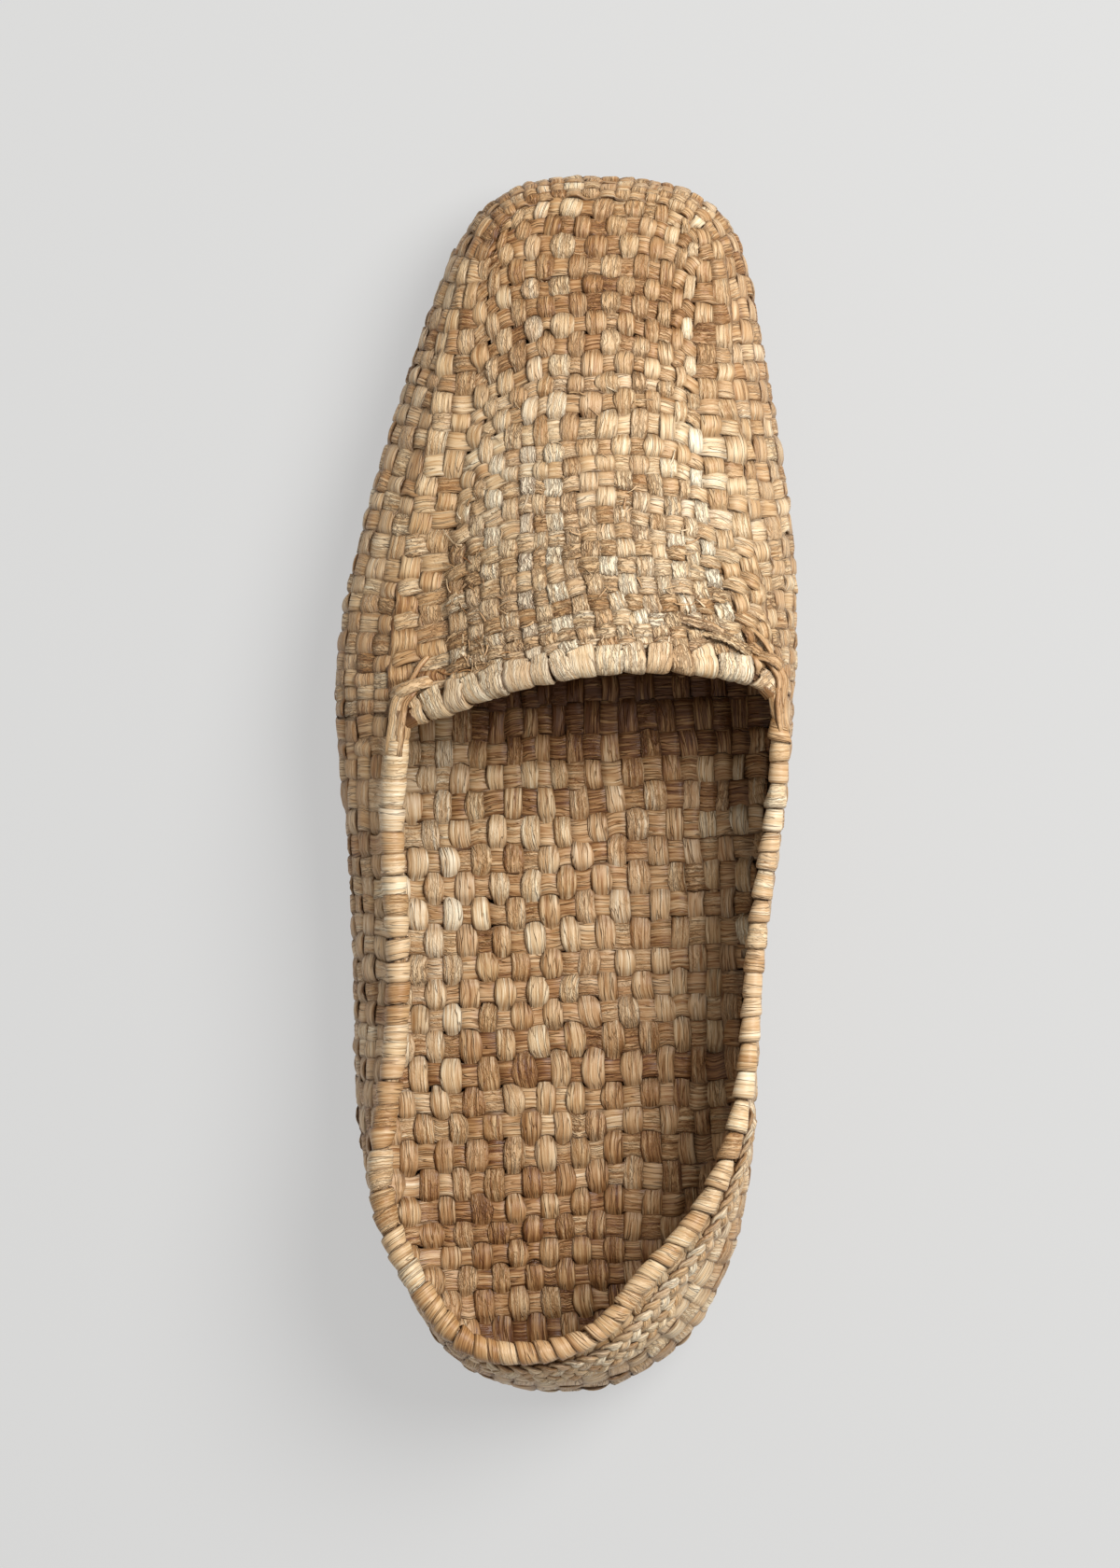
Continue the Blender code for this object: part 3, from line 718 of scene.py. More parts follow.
class Ribbons:
    """Closed ribbons joined in one mesh, with the straw's own attributes at each vertex."""

    # Angles round a ribbon's section: more points on the outer face than on the inner one.
    ANGLES = np.radians([0, 30, 60, 90, 120, 150, 180, 225, 270, 315])
    ROUND_X = 0.62
    ROUND_Z = 0.66
    # Lowest height in mm: straw is pressed flat where the shoe stands on it.
    FLOOR = 0.06
    # Random unevenness in mm: of smooth straw, more of it where crushed, and its share across the strip.
    SHAKE = 0.02
    SHAKE_CRUSHED = 0.11
    SHAKE_ACROSS = 0.8
    # Strands are numbered up to this, so that each has its own fibres.
    NUMBERS = 500
    # Share of its clean and lit value that a strip's side loses to dirt and painted shade, and how sharply
    # it does so towards its edges.
    SHELTERED = 0.45
    EDGE_POWER = 6

    def __init__(self, trim: Callable[[Array], Array] | None = None) -> None:
        """Starts with nothing in the mesh; trim moves points that pass the piece's bounds."""
        self.trim = trim
        self.points: list[Array] = []
        self.quads: list[Array] = []
        self.layers: dict[str, list[Array]] = {"fibre": [], "straw": [], "clean": []}
        self.total = 0

    def add(
        self, centre: Array, side: Array, normal: Array, width: Sizes, thick: Sizes, tone: Sizes,
        hue: Sizes, crumple: Sizes, clean: Sizes, rng: Rng, closed: bool = False,
    ) -> None:
        """Sweeps a flattened section along each strand.

        A section point lies at centre + side * width * x + normal * thick * z, where x and z are the
        powers ROUND_X and ROUND_Z of the cosine and sine of its angle. Crumpled straw is shaken out of
        that place by a small random amount.

        Args:
            centre: Middle of the strip [strand, sample, xyz], mm.
            side: Unit vectors across the strip.
            normal: Unit vectors out of its face.
            width: Half widths in mm, as a number or [strand, sample]; so are the next five.
            thick: Half thicknesses in mm.
            tone: 0 dark to 1 pale, cut off at both.
            hue: 0 yellow to 1 red, cut off at both.
            crumple: 0 smooth to 1 crushed.
            clean: 0 for a sunken place, dark with dirt and painted shade, to 1 for a rubbed, raised one.
            rng: Source of the shake.
            closed: Whether each strand's end meets its start.
        """
        strands, samples = centre.shape[:2]
        looks = width, thick, np.clip(tone, 0, 1), np.clip(hue, 0, 1), crumple, clean
        looks = (np.broadcast_to(look, (strands, samples)) for look in looks)
        width, thick, tone, hue, crumple, clean = looks
        cos, sin = np.cos(self.ANGLES), np.sin(self.ANGLES)
        x = np.sign(cos) * np.abs(cos) ** self.ROUND_X
        z = np.sign(sin) * np.abs(sin) ** self.ROUND_Z
        ring = len(self.ANGLES)
        out = (
            centre[:, :, None]
            + side[:, :, None] * (width[..., None] * x)[..., None]
            + normal[:, :, None] * (thick[..., None] * z)[..., None]
        )
        shake = self.SHAKE + self.SHAKE_CRUSHED * crumple[..., None]
        out = out + normal[:, :, None] * (rng.normal(size=out.shape[:3]) * shake)[..., None]
        shake = shake * self.SHAKE_ACROSS
        out = out + side[:, :, None] * (rng.normal(size=out.shape[:3]) * shake)[..., None]
        out[..., 2] = np.maximum(out[..., 2], self.FLOOR)
        out = self.trim(out) if self.trim else out
        run = arc_lengths(centre)[..., None]
        number = rng.uniform(0, self.NUMBERS, size=strands)[:, None, None]
        fibre = np.stack(np.broadcast_arrays(run, width[..., None] * x, number), axis=-1)
        straw = np.stack([tone, hue, crumple], axis=-1)[:, :, None]
        straw = np.broadcast_to(straw, (strands, samples, ring, 3))
        # A strip's sides and underside, and most of all its edges, are marked less clean and lit: dirt and
        # painted shade.
        face = 1 - self.SHELTERED + self.SHELTERED * z
        edge = self.SHELTERED * np.abs(x) ** self.EDGE_POWER
        edge = np.clip(clean[..., None] * face - edge, 0, 1)
        index = np.arange(strands * samples * ring).reshape(strands, samples, ring) + self.total
        after = np.roll(index, -1, axis=1) if closed else index[:, 1:]
        here = index if closed else index[:, :-1]
        quads = [here, np.roll(here, -1, 2), np.roll(after, -1, 2), after]
        quads = [np.stack(quads, axis=-1).reshape(-1, 4)]
        if not closed:
            m = np.arange(ring // 2 - 1)
            cap = np.stack([m, m + 1, ring - 2 - m, ring - 1 - m], axis=-1)
            quads.append(index[:, 0][:, cap[:, ::-1]].reshape(-1, 4))
            quads.append(index[:, -1][:, cap].reshape(-1, 4))
        self.points.append(out.reshape(-1, 3))
        self.quads += quads
        self.layers["fibre"].append(fibre.reshape(-1, 3))
        self.layers["straw"].append(straw.reshape(-1, 3))
        self.layers["clean"].append(edge.reshape(-1))
        self.total += strands * samples * ring

    def build(self, name: str, material: Material, slot: Slot, *nodes: str) -> Piece:
        """Turns the ribbons into one object that stands for CAD nodes.

        Args:
            name: The piece's name.
            material: Its finish.
            slot: Not used; the slot that the finish belongs to.
            nodes: CAD nodes that this piece stands for.

        Returns:
            The finished object, riding on the shoe's only body.
        """
        quads = np.concatenate(self.quads).astype(np.int32)
        mesh = bpy.data.meshes.new(name)
        mesh.vertices.add(self.total)
        mesh.vertices.foreach_set("co", (np.concatenate(self.points) * MM).astype(np.float32).ravel())
        mesh.loops.add(quads.size)
        mesh.loops.foreach_set("vertex_index", quads.ravel())
        mesh.polygons.add(len(quads))
        mesh.polygons.foreach_set("loop_start", np.arange(0, quads.size, 4, dtype=np.int32))
        mesh.polygons.foreach_set("use_smooth", np.ones(len(quads), bool))
        for layer, parts in self.layers.items():
            values = np.concatenate(parts).astype(np.float32)
            kind, field = ("FLOAT", "value") if values.ndim == 1 else ("FLOAT_VECTOR", "vector")
            mesh.attributes.new(layer, kind, "POINT").data.foreach_set(field, values.ravel())
        mesh.update(calc_edges=True)
        mesh.validate()
        mesh.materials.append(material)
        piece = add_object(name, mesh)
        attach(piece, "root")
        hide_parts(*nodes)
        LOG.info("%s: %d triangles", name, 2 * len(quads))
        return piece


@dataclass
class Strips:
    """Strips side by side on one surface, woven over and under by a count of crossings.

    points are on the surface [strand, sample, xyz]; count is the crossings passed at each sample; over is
    +1 for a strand that lies over at even crossings, else -1. facing is +1 where along x next strand
    points out of the shoe. depth is how far the middle of the weave lies under the surface.
    """

    points: Array
    count: Array
    over: Array
    facing: int = 1
    depth: float = 1.3
    closed: bool = False

    WIDEST = 1.6

    def frames(self) -> tuple[Array, Array, Array]:
        """Unit vectors across and out of the strips, and the spacing between neighbours in mm.

        Where neighbours end far apart the spacing is held to WIDEST times the strip's usual one.
        """
        along = slope(self.points, 1, self.closed)
        across = slope(self.points, 0)
        tangent = unit(along)
        normal = unit(np.cross(along, across)) * self.facing
        normal = unit(eased(normal, 3, self.closed))
        side = unit(np.cross(normal, tangent))
        normal = np.cross(tangent, side)
        spacing = np.linalg.norm(square_to(across, tangent), axis=-1)
        spacing = np.minimum(spacing, self.WIDEST * np.median(spacing, axis=1, keepdims=True))
        return side, normal, eased(spacing[..., None], 4, self.closed)[..., 0]

    def phase(self) -> Array:
        """+1 at the middle of crossing over, -1 at the middle of crossing under, a cosine between."""
        return self.over[:, None] * np.cos(np.pi * (self.count - 0.5))

    def per_crossing(self, rng: Rng, spread: float) -> Array:
        """A random amount for each crossing of each strand, blended from one crossing to the next."""
        count = np.broadcast_to(self.count, self.points.shape[:2])
        table = rng.normal(size=(len(self.points), int(count.max()) + 4)) * spread
        place = np.clip(count + 0.5, 0, None)
        left = np.floor(place).astype(int)
        blend = fade(place - left, 0, 1)
        strand = np.arange(len(self.points))[:, None]
        return table[strand, left] * (1 - blend) + table[strand, left + 1] * blend


@dataclass(frozen=True)
class Straw:
    """How the strips of one family vary; _strand and _cell are spreads per strand and per crossing.

    tone and hue are the middle values. crumple is the share of crushed straw, loose is how far strips
    wander and uneven how far they rise, both mm, tilt is in degrees, and fill scales every width.
    """

    tone: float = 0.5
    tone_strand: float = 0.10
    tone_cell: float = 0.07
    hue: float = 0.35
    hue_strand: float = 0.2
    hue_cell: float = 0.08
    crumple: float = 0.12
    crumple_cell: float = 0.22
    loose: float = 0.28
    uneven: float = 0.12
    tilt: float = 5.0
    fill: float = 1.0
    width_strand: float = 0.08
    width_cell: float = 0.09
    thick_cell: float = 0.10

    # How clean and lit a strip is where it dives under its neighbours, and where it lies loose on top; less
    # is dirt and painted shade.
    CLEAN_UNDER, CLEAN_LOOSE = 0.45, 0.95


def weave(
    ribbons: Ribbons, strips: Strips, shape: dict[str, Array], straw: Straw, rng: Rng,
    crumple: Sizes = 0.0, tone: Sizes = 0.0, flatten: Sizes = 1.0, lean: Sizes = 0.0,
    narrow: Sizes = 1.0,
) -> None:
    """Lays a family of strips into the mesh.

    The middle of a strip stands off the middle of the weave by lift * sign(c) |c|^rise, where c is the
    phase of the crossing, and its half width runs between the cell's under, edge and over shares.

    Args:
        ribbons: The mesh that takes them.
        strips: Where they run.
        shape: Cell sizes, as numbers or as arrays [strand, sample].
        straw: How they vary.
        rng: Source of all variation.
        crumple: More crushing, [strand, sample] or a number.
        tone: Paler or darker, the same way.
        flatten: Share of the over and under movement that is kept; a strip held flat is marked clean and
            lit all along.
        lean: Degrees by which every strip tips over its neighbour.
        narrow: Share of the width that is kept.
    """
    side, normal, spacing = strips.frames()
    c = strips.phase()
    near = np.abs(c)
    lift = shape["lift"] * np.sign(c) * near ** shape["rise"] * flatten
    lift = lift + strips.per_crossing(rng, straw.uneven) * near
    over, under = np.clip(c, 0, 1), np.clip(-c, 0, 1)
    share = (
        shape["edge"]
        + (shape["over"] - shape["edge"]) * over**0.5
        + (shape["under"] - shape["edge"]) * under**0.5
    )
    each = (len(strips.points), 1)
    strand = rng.normal(size=each) * straw.width_strand
    uneven = 1 + strand + strips.per_crossing(rng, straw.width_cell) * near
    width = spacing * share * straw.fill * narrow * uneven
    thick = shape["thick"] * (1 + strips.per_crossing(rng, straw.thick_cell))
    wander = strips.per_crossing(rng, straw.loose)
    twist = np.radians(strips.per_crossing(rng, straw.tilt) + lean)[..., None]
    turned = side * np.cos(twist) + normal * np.sin(twist)
    facing = normal * np.cos(twist) - side * np.sin(twist)
    centre = strips.points + normal * (lift - strips.depth)[..., None] + side * wander[..., None]
    tones = straw.tone + rng.normal(size=each) * straw.tone_strand
    tones = tones + strips.per_crossing(rng, straw.tone_cell) + tone
    hues = straw.hue + rng.normal(size=each) * straw.hue_strand
    hues = hues + strips.per_crossing(rng, straw.hue_cell)
    crushed = np.clip(straw.crumple + strips.per_crossing(rng, straw.crumple_cell) + crumple, 0, 1)
    # Where a strip dives under its neighbours it is marked less clean and lit: dirt and painted shade down
    # in the weave.
    clean = straw.CLEAN_UNDER + (1 - straw.CLEAN_UNDER) * np.maximum(over, 1 - flatten)
    ribbons.add(
        centre, turned, facing, width, thick, tones, hues, crushed, clean, rng, strips.closed
    )


# ---- finishes


def linear(code: str) -> tuple[float, float, float, float]:
    """An sRGB hex value such as #c8a26e as linear RGBA."""
    parts = [int(code[k : k + 2], 16) / 255 for k in (1, 3, 5)]
    low = [p / 12.92 if p <= 0.04045 else ((p + 0.055) / 1.055) ** 2.4 for p in parts]
    return (*low, 1.0)


def set_inputs(node: bpy.types.Node, inputs: dict) -> None:
    """Links each input that is given a socket and sets each that is given a value."""
    for key, value in inputs.items():
        if isinstance(value, Socket):
            node.id_data.links.new(value, node.inputs[key])
        else:
            node.inputs[key].default_value = value


def add_node(
    tree: bpy.types.NodeTree, kind: str, inputs: tuple | dict = (), out: int | str = 0, **settings: object
) -> Socket:
    """Adds a node with its settings and links.

    Args:
        tree: The node tree.
        kind: The node's type name without ShaderNode.
        inputs: Values or sockets in the order of the node's inputs, or by their names or numbers.
        out: Name or number of the output that is wanted.
        settings: Properties of the node.

    Returns:
        That output of the new node.
    """
    node = tree.nodes.new("ShaderNode" + kind)
    for name, value in settings.items():
        setattr(node, name, value)
    set_inputs(node, inputs if isinstance(inputs, dict) else dict(enumerate(inputs)))
    return node.outputs[out]


@dataclass(frozen=True)
class StrawFinish:
    """Dry plaiting straw, split and pressed flat by hand.

    The eye sees fine fibres that run along each strip, strips that differ from pale cream to brown, a few
    lengthwise cracks, crushed places with short wrinkles, dirt and painted shade down in the weave, and a
    dull waxy sheen on the rubbed tops. The creases and the wrinkles' hollows are darkened and their ridges
    paled as painted shade and light. Fibres are drawn 0.45 and 1.15 mm wide, about twice the real ones, so
    that they show.
    """

    name: str
    shades: tuple[str, ...] = ("#6c4322", "#a87c4d", "#caa679", "#e0c59d", "#f2e5c8")
    red: str = "#b9764a"
    line: str = "#8a6038"
    dirt: str = "#553519"
    red_share: float = 0.2625
    red_stains: float = 1.2
    line_share: float = 0.75
    crack_share: float = 0.7
    crack_sharpness: float = 26.0
    crease_sharpness: float = 16.0
    dirt_share: float = 0.86
    dirt_power: float = 1.6
    fibre_contrast: float = 1.2
    strand_contrast: float = 0.62
    fold_contrast: float = 0.10
    patch_contrast: float = 0.5
    fold_depth: float = 4.0
    roughness: float = 0.43
    ior: float = 1.45
    specular: float = 0.45
    bump: float = 0.9
    bump_mm: float = 0.462

    # What each noise lies on, its sizes, detail and roughness. On the fibres the sizes are mm along and
    # across and a share of the strip's number, so that no two strips match; on the piece they are metres.
    # They are fine and broad fibres, wrinkles of crushed straw, cracks, pale patches and red stains.
    NOISES = (
        ("fine", "fibre", (9.0, 0.45, 1 / 7), 3.0, 0.65),
        ("broad", "fibre", (15.0, 1.15, 1 / 3), 2.0, 0.55),
        ("wrinkle", "fibre", (1.1 / 0.3, 1.1, 1.0), 3.0, 0.60),
        ("crack", "fibre", (10.0, 1.0, 1 / 11), 1.0, 0.55),
        ("patch", "piece", (40 * MM, 40 * MM, 40 * MM), 1.0, 0.55),
        ("stain", "piece", (25 * MM, 25 * MM, 25 * MM), 2.0, 0.55),
    )

    def noises(self, node: Callable[..., Socket]) -> dict[str, Socket]:
        """The straw's noises by name, each less its mean of a half; node adds a node to the material."""
        bases = {
            "fibre": node("Attribute", out="Vector", attribute_name="fibre"),
            "piece": node("TexCoord", out="Object"),
        }
        noise = {}
        for name, base, sizes, detail, roughness in self.NOISES:
            often = [1 / size for size in sizes]
            place = node("VectorMath", (bases[base], often), operation="MULTIPLY")
            grain = {"Vector": place, "Scale": 1.0, "Detail": detail, "Roughness": roughness}
            grain = node("TexNoise", grain, "Fac", noise_dimensions="3D")
            noise[name] = node("Math", (grain, 0.5), operation="SUBTRACT")
        return noise

    def build(self) -> Material:
        """Makes the material from its nodes.

        Cracks and creases are the thin lines where their noise passes 0. The shade is the strip's tone and
        the noises by their contrasts, and picks the colour, which red stains, lines, and dirt with painted
        shade multiply by their own tints. Height and roughness are such sums too.

        Returns:
            A material that reads the fibre, straw and clean attributes of the ribbons.
        """
        material = bpy.data.materials.new(self.name)
        material.use_nodes = True
        node = partial(add_node, material.node_tree)
        straw = node("Attribute", out="Vector", attribute_name="straw")
        clean = node("Attribute", out="Fac", attribute_name="clean")
        tone, hue, crumple = node("SeparateXYZ", (straw,)).node.outputs
        noise = self.noises(node)
        fine, broad, wrinkle = noise["fine"], noise["broad"], noise["wrinkle"]

        lines = []
        for name, sharpness in (("crack", self.crack_sharpness), ("wrinkle", self.crease_sharpness)):
            away = node("Math", (noise[name],), operation="ABSOLUTE")
            away = node("Math", (away, sharpness), operation="MULTIPLY", use_clamp=True)
            lines.append(node("Math", (1.0, away), operation="SUBTRACT"))
        # Cracks follow the paler broad fibres, and creases are kept to the crushed straw.
        coarse = node("Math", (broad, 5.0, 0.6), operation="MULTIPLY_ADD", use_clamp=True)
        crack = node("Math", (lines[0], coarse), operation="MULTIPLY")
        crack = node("Math", (crack, self.crack_share), operation="MULTIPLY")
        crushed = node("Math", (crumple, 1.1), operation="MULTIPLY", use_clamp=True)
        crease = node("Math", (lines[1], crushed), operation="MULTIPLY")
        line = node("Math", (crack, crease), operation="MAXIMUM")
        fold = node("Math", (crumple, self.fold_depth), operation="MULTIPLY")
        fold = node("Math", (wrinkle, fold), operation="MULTIPLY")

        grains = (fine, self.fibre_contrast), (broad, self.strand_contrast)
        # Crushed straw is paler on its wrinkles' ridges and darker in their hollows, as painted light and
        # shade; the patches are the straw's own.
        wear = (fold, self.fold_contrast), (noise["patch"], self.patch_contrast)
        relief = (fine, 0.35), (broad, 0.65), (line, -1.1)
        sheen = (fine, 0.14), (line, 0.2)
        sums = []
        for total, parts in ((tone, grains + wear), (fold, relief), (self.roughness, sheen)):
            for part, amount in parts:
                total = node("Math", (part, amount, total), operation="MULTIPLY_ADD")
            sums.append(total)
        shade, height, rough = sums

        colour = node("ValToRGB", (shade,))
        stops = colour.node.color_ramp.elements
        while len(stops) < len(self.shades):
            stops.new(0.5)
        for k, code in enumerate(self.shades):
            stops[k].position = k / (len(self.shades) - 1)
            stops[k].color = linear(code)
        red = node("Math", (noise["stain"], self.red_stains, hue), operation="MULTIPLY_ADD")
        red = node("Math", (red, self.red_share), operation="MULTIPLY")
        # Lines darken the colour: cracks as the straw's own dark splits, creases as painted shade in their
        # folds.
        line = node("Math", (line, self.line_share), operation="MULTIPLY")
        # Dirt and painted shade darken what is marked less clean and lit: sunken places, sides and edges.
        sunk = node("Math", (1.0, clean), operation="SUBTRACT", use_clamp=True)
        sunk = node("Math", (sunk, self.dirt_power), operation="POWER")
        dirt = node("Math", (sunk, self.dirt_share), operation="MULTIPLY")
        for share, tint in ((red, self.red), (line, self.line), (dirt, self.dirt)):
            # The node's colours are its inputs 6 and 7 and its output 2.
            inputs = {0: share, 6: colour, 7: linear(tint)}
            colour = node("Mix", inputs, 2, data_type="RGBA", blend_type="MULTIPLY")
        bump = {"Height": height, "Strength": self.bump, "Distance": self.bump_mm * MM}
        looks = {
            "Base Color": colour,
            "Normal": node("Bump", bump),
            "Roughness": rough,
            "IOR": self.ior,
            "Specular IOR Level": self.specular,
        }
        set_inputs(material.node_tree.nodes["Principled BSDF"], looks)
        return material


@dataclass(frozen=True)
class PaperFinish:
    """Plain grey paper under the shoe: dead matt, with a glow of its own that keeps shadows on it pale."""

    name: str = "matt_paper"
    colour: str = "#747473"
    glow: str = "#fafafa"
    glow_strength: float = 0.505
    roughness: float = 0.9
    specular: float = 0.2

    def build(self) -> Material:
        """Makes the material, which has no pattern."""
        material = bpy.data.materials.new(self.name)
        material.use_nodes = True
        looks = {
            "Base Color": linear(self.colour),
            "Roughness": self.roughness,
            "Specular IOR Level": self.specular,
            "Emission Color": linear(self.glow),
            "Emission Strength": self.glow_strength,
        }
        set_inputs(material.node_tree.nodes["Principled BSDF"], looks)
        return material


# ---- sub-assemblies


@dataclass
class OnBasket:
    """A sub-assembly laid on the basket in one finish."""

    basket: Basket
    finish: Material


@dataclass
class VampPanel(OnBasket):
    """The vamp's own strips: wefts from wall to wall, and warps from the throat down the toe."""

    samples: int = 6
    weft_straw: Straw = Straw(tone=0.53, hue=0.36, crumple=0.18, loose=0.2)
    warp_straw: Straw = Straw(tone=0.60, tone_strand=0.12, hue=0.16, crumple=0.24, loose=0.2)

    # Shares of the way from the throat to the toe, or from lateral to medial, where a change runs.
    SEEDS_ALONG, SEEDS_ACROSS = (0.28, 0.62), (0.70, 0.98)
    CRUSHED_ALONG, PALE_ALONG, DARK_ALONG = (0.05, 0.60), (0.1, 0.5), (0.4, 0.8)
    CRUSHED, PALE, DARK = 0.48, 0.15, 0.12
    # Share of the throat's crushing that reaches the side walls.
    CRUSHED_WALL = 0.35

    def seeds(self, across: Array, along: Array) -> Array:
        """Where the warps stand up as pinched seeds: the toe half, fading to the throat and medially."""
        toe = fade(along / self.basket.wefts, *self.SEEDS_ALONG)
        return toe * (1 - fade(across / self.basket.warps, *self.SEEDS_ACROSS))

    def crushed(self, along: Array) -> Array:
        """The straw is crushed and frayed towards the throat."""
        return self.CRUSHED * (1 - fade(along / self.basket.wefts, *self.CRUSHED_ALONG))

    def paleness(self, along: Array) -> Array:
        """Tone added to the straw: paler at the throat, darker towards the toe."""
        share = along / self.basket.wefts
        pale = self.PALE * (1 - fade(share, *self.PALE_ALONG))
        return pale - self.DARK * fade(share, *self.DARK_ALONG)

    def wefts(self, rng: Rng) -> Piece:
        """Wefts with the vamp's side stakes, from one foot edge to the other."""
        b = self.basket
        crossings = 2 * b.vamp_rows + b.warps
        count = np.linspace(0, crossings, crossings * self.samples + 1)[None]
        along = np.arange(b.wefts)[:, None] + 0.5
        strips = Strips(b.weft_path(count, along), count, (-1.0) ** np.arange(b.wefts))
        on_panel = between(count, b.vamp_rows, b.vamp_rows + b.warps, 1, 1)
        shape = PILLOW.mixed(SEED_WEFT, self.seeds(count - b.vamp_rows, along) * on_panel)
        crumple = self.crushed(along) * (self.CRUSHED_WALL + (1 - self.CRUSHED_WALL) * on_panel)
        ribbons = Ribbons()
        tone = self.paleness(along)
        weave(ribbons, strips, shape, self.weft_straw, rng, crumple=crumple, tone=tone)
        return ribbons.build("vamp_wefts", self.finish, Slot.UPPER, "upper")

    def warps(self, rng: Rng) -> Piece:
        """Warps from just behind the throat's edge to the toe's foot edge."""
        b = self.basket
        end = b.wefts + b.vamp_rows
        count = np.linspace(-0.25, end, int(end * (self.samples + 2)))[None]
        across = np.arange(b.warps)[:, None] + 0.5
        strips = Strips(b.warp_path(count, across), count, (-1.0) ** np.arange(b.warps), facing=-1)
        weight = self.seeds(across, count) * (1 - fade(count, b.wefts - 0.5, b.wefts + 1.5))
        shape = PILLOW.mixed(SEED_WARP, weight)
        ribbons = Ribbons()
        crumple, tone = self.crushed(count), self.paleness(count)
        weave(ribbons, strips, shape, self.warp_straw, rng, crumple=crumple, tone=tone)
        return ribbons.build("vamp_warps", self.finish, Slot.UPPER, "upper")


@dataclass
class Roll:
    """A roll on a wall's edge: frames of its centre line and the wraps round it.

    edge and inner are rows of surface points [place, xyz] on the edge and a row further in; the centre lies
    past the edge by radius and gap, half a wall inside the surface.
    """

    edge: Array
    inner: Array
    sizes: ShoeSizes
    gap: float
    lateral: float = 2.5
    heel: float = 2.4
    medial: float = 2.0
    joint_up: float = 0.8
    joint_width: float = 1.7
    joint_thick: float = 0.45
    bare_inset: float = 0.4

    # Shares of the ball's width at which the three radii hold, and the look of the hidden straw.
    RADIUS_AT = (-0.34, 0, 0.45)
    HUE = 0.4
    CRUMPLE = 0.1

    def __post_init__(self) -> None:
        """Works out the frame along the edge: out of the wall's edge, and out of its face."""
        along = unit(np.gradient(self.edge, axis=0))
        out = unit(square_to(self.edge - self.inner, along))
        self.along = along
        self.out = unit(eased(out[None], 6)[0])
        self.face = unit(np.cross(self.out, along))
        across = self.edge[:, 0] / self.sizes.ball_width
        self.radius = np.interp(across, self.RADIUS_AT, [self.lateral, self.heel, self.medial])
        push = self.out * (self.radius + self.gap)[:, None]
        self.centre = self.edge - self.face * self.sizes.wall / 2 + push
        self.run = arc_lengths(self.centre)

    def at(self, run: Array, angle: Array, radius_more: Sizes) -> Array:
        """Points round the roll.

        Args:
            run: Distance along the roll in mm.
            angle: Degrees from the wall's outer face over the top of the roll to its inner face.
            radius_more: Distance outside the roll's own radius in mm.

        Returns:
            centre + (face cos + out sin) * radius at each place.
        """
        run, angle = np.broadcast_arrays(run, np.radians(angle))
        frame = (self.centre, self.face, self.out)
        centre, face, out = (read_table(run, self.run, values) for values in frame)
        radius = np.interp(run, self.run, self.radius) + radius_more
        ray = face * np.cos(angle)[..., None] + out * np.sin(angle)[..., None]
        return centre + ray * radius[..., None]

    def core(
        self, ribbons: Ribbons, rng: Rng, inset: float = 1.0, tone: float = 0.5, past: float = 0.4
    ) -> None:
        """The bundle inside the wraps, and the strip that joins it to the wall.

        Args:
            ribbons: The mesh that takes them.
            rng: Source of the variation.
            inset: How far the bundle lies under the wraps in mm; it swells to bare_inset at its ends.
            tone: 0 dark to 1 pale.
            past: How far it runs on past its last frames in mm.
        """

        def with_ends(values: Array) -> Array:
            """The values as one strand, with its first and last ones doubled."""
            return np.concatenate([values[:1], values, values[-1:]])[None]

        bare = 1 - fade(np.minimum(self.run, self.run[-1] - self.run), 1.5, 4.0)
        thick = with_ends(self.radius - inset + (inset - self.bare_inset) * bare)
        centre, face, out = with_ends(self.centre), with_ends(self.face), with_ends(self.out)
        centre[0, 0] -= self.along[0] * past
        centre[0, -1] += self.along[-1] * past
        look = (tone, self.HUE, self.CRUMPLE)
        # The bundle and the joint lie under the wraps and are marked low on clean and lit: dirt and painted
        # shade.
        ribbons.add(centre, -face, out, thick, thick, *look, 0.2 + tone, rng)
        joint = (self.edge - self.face * self.sizes.wall / 2 + self.out * self.joint_up)[None]
        width, thick = self.joint_width, self.joint_thick
        ribbons.add(joint, self.out[None], self.face[None], width, thick, *look, 0.3, rng)


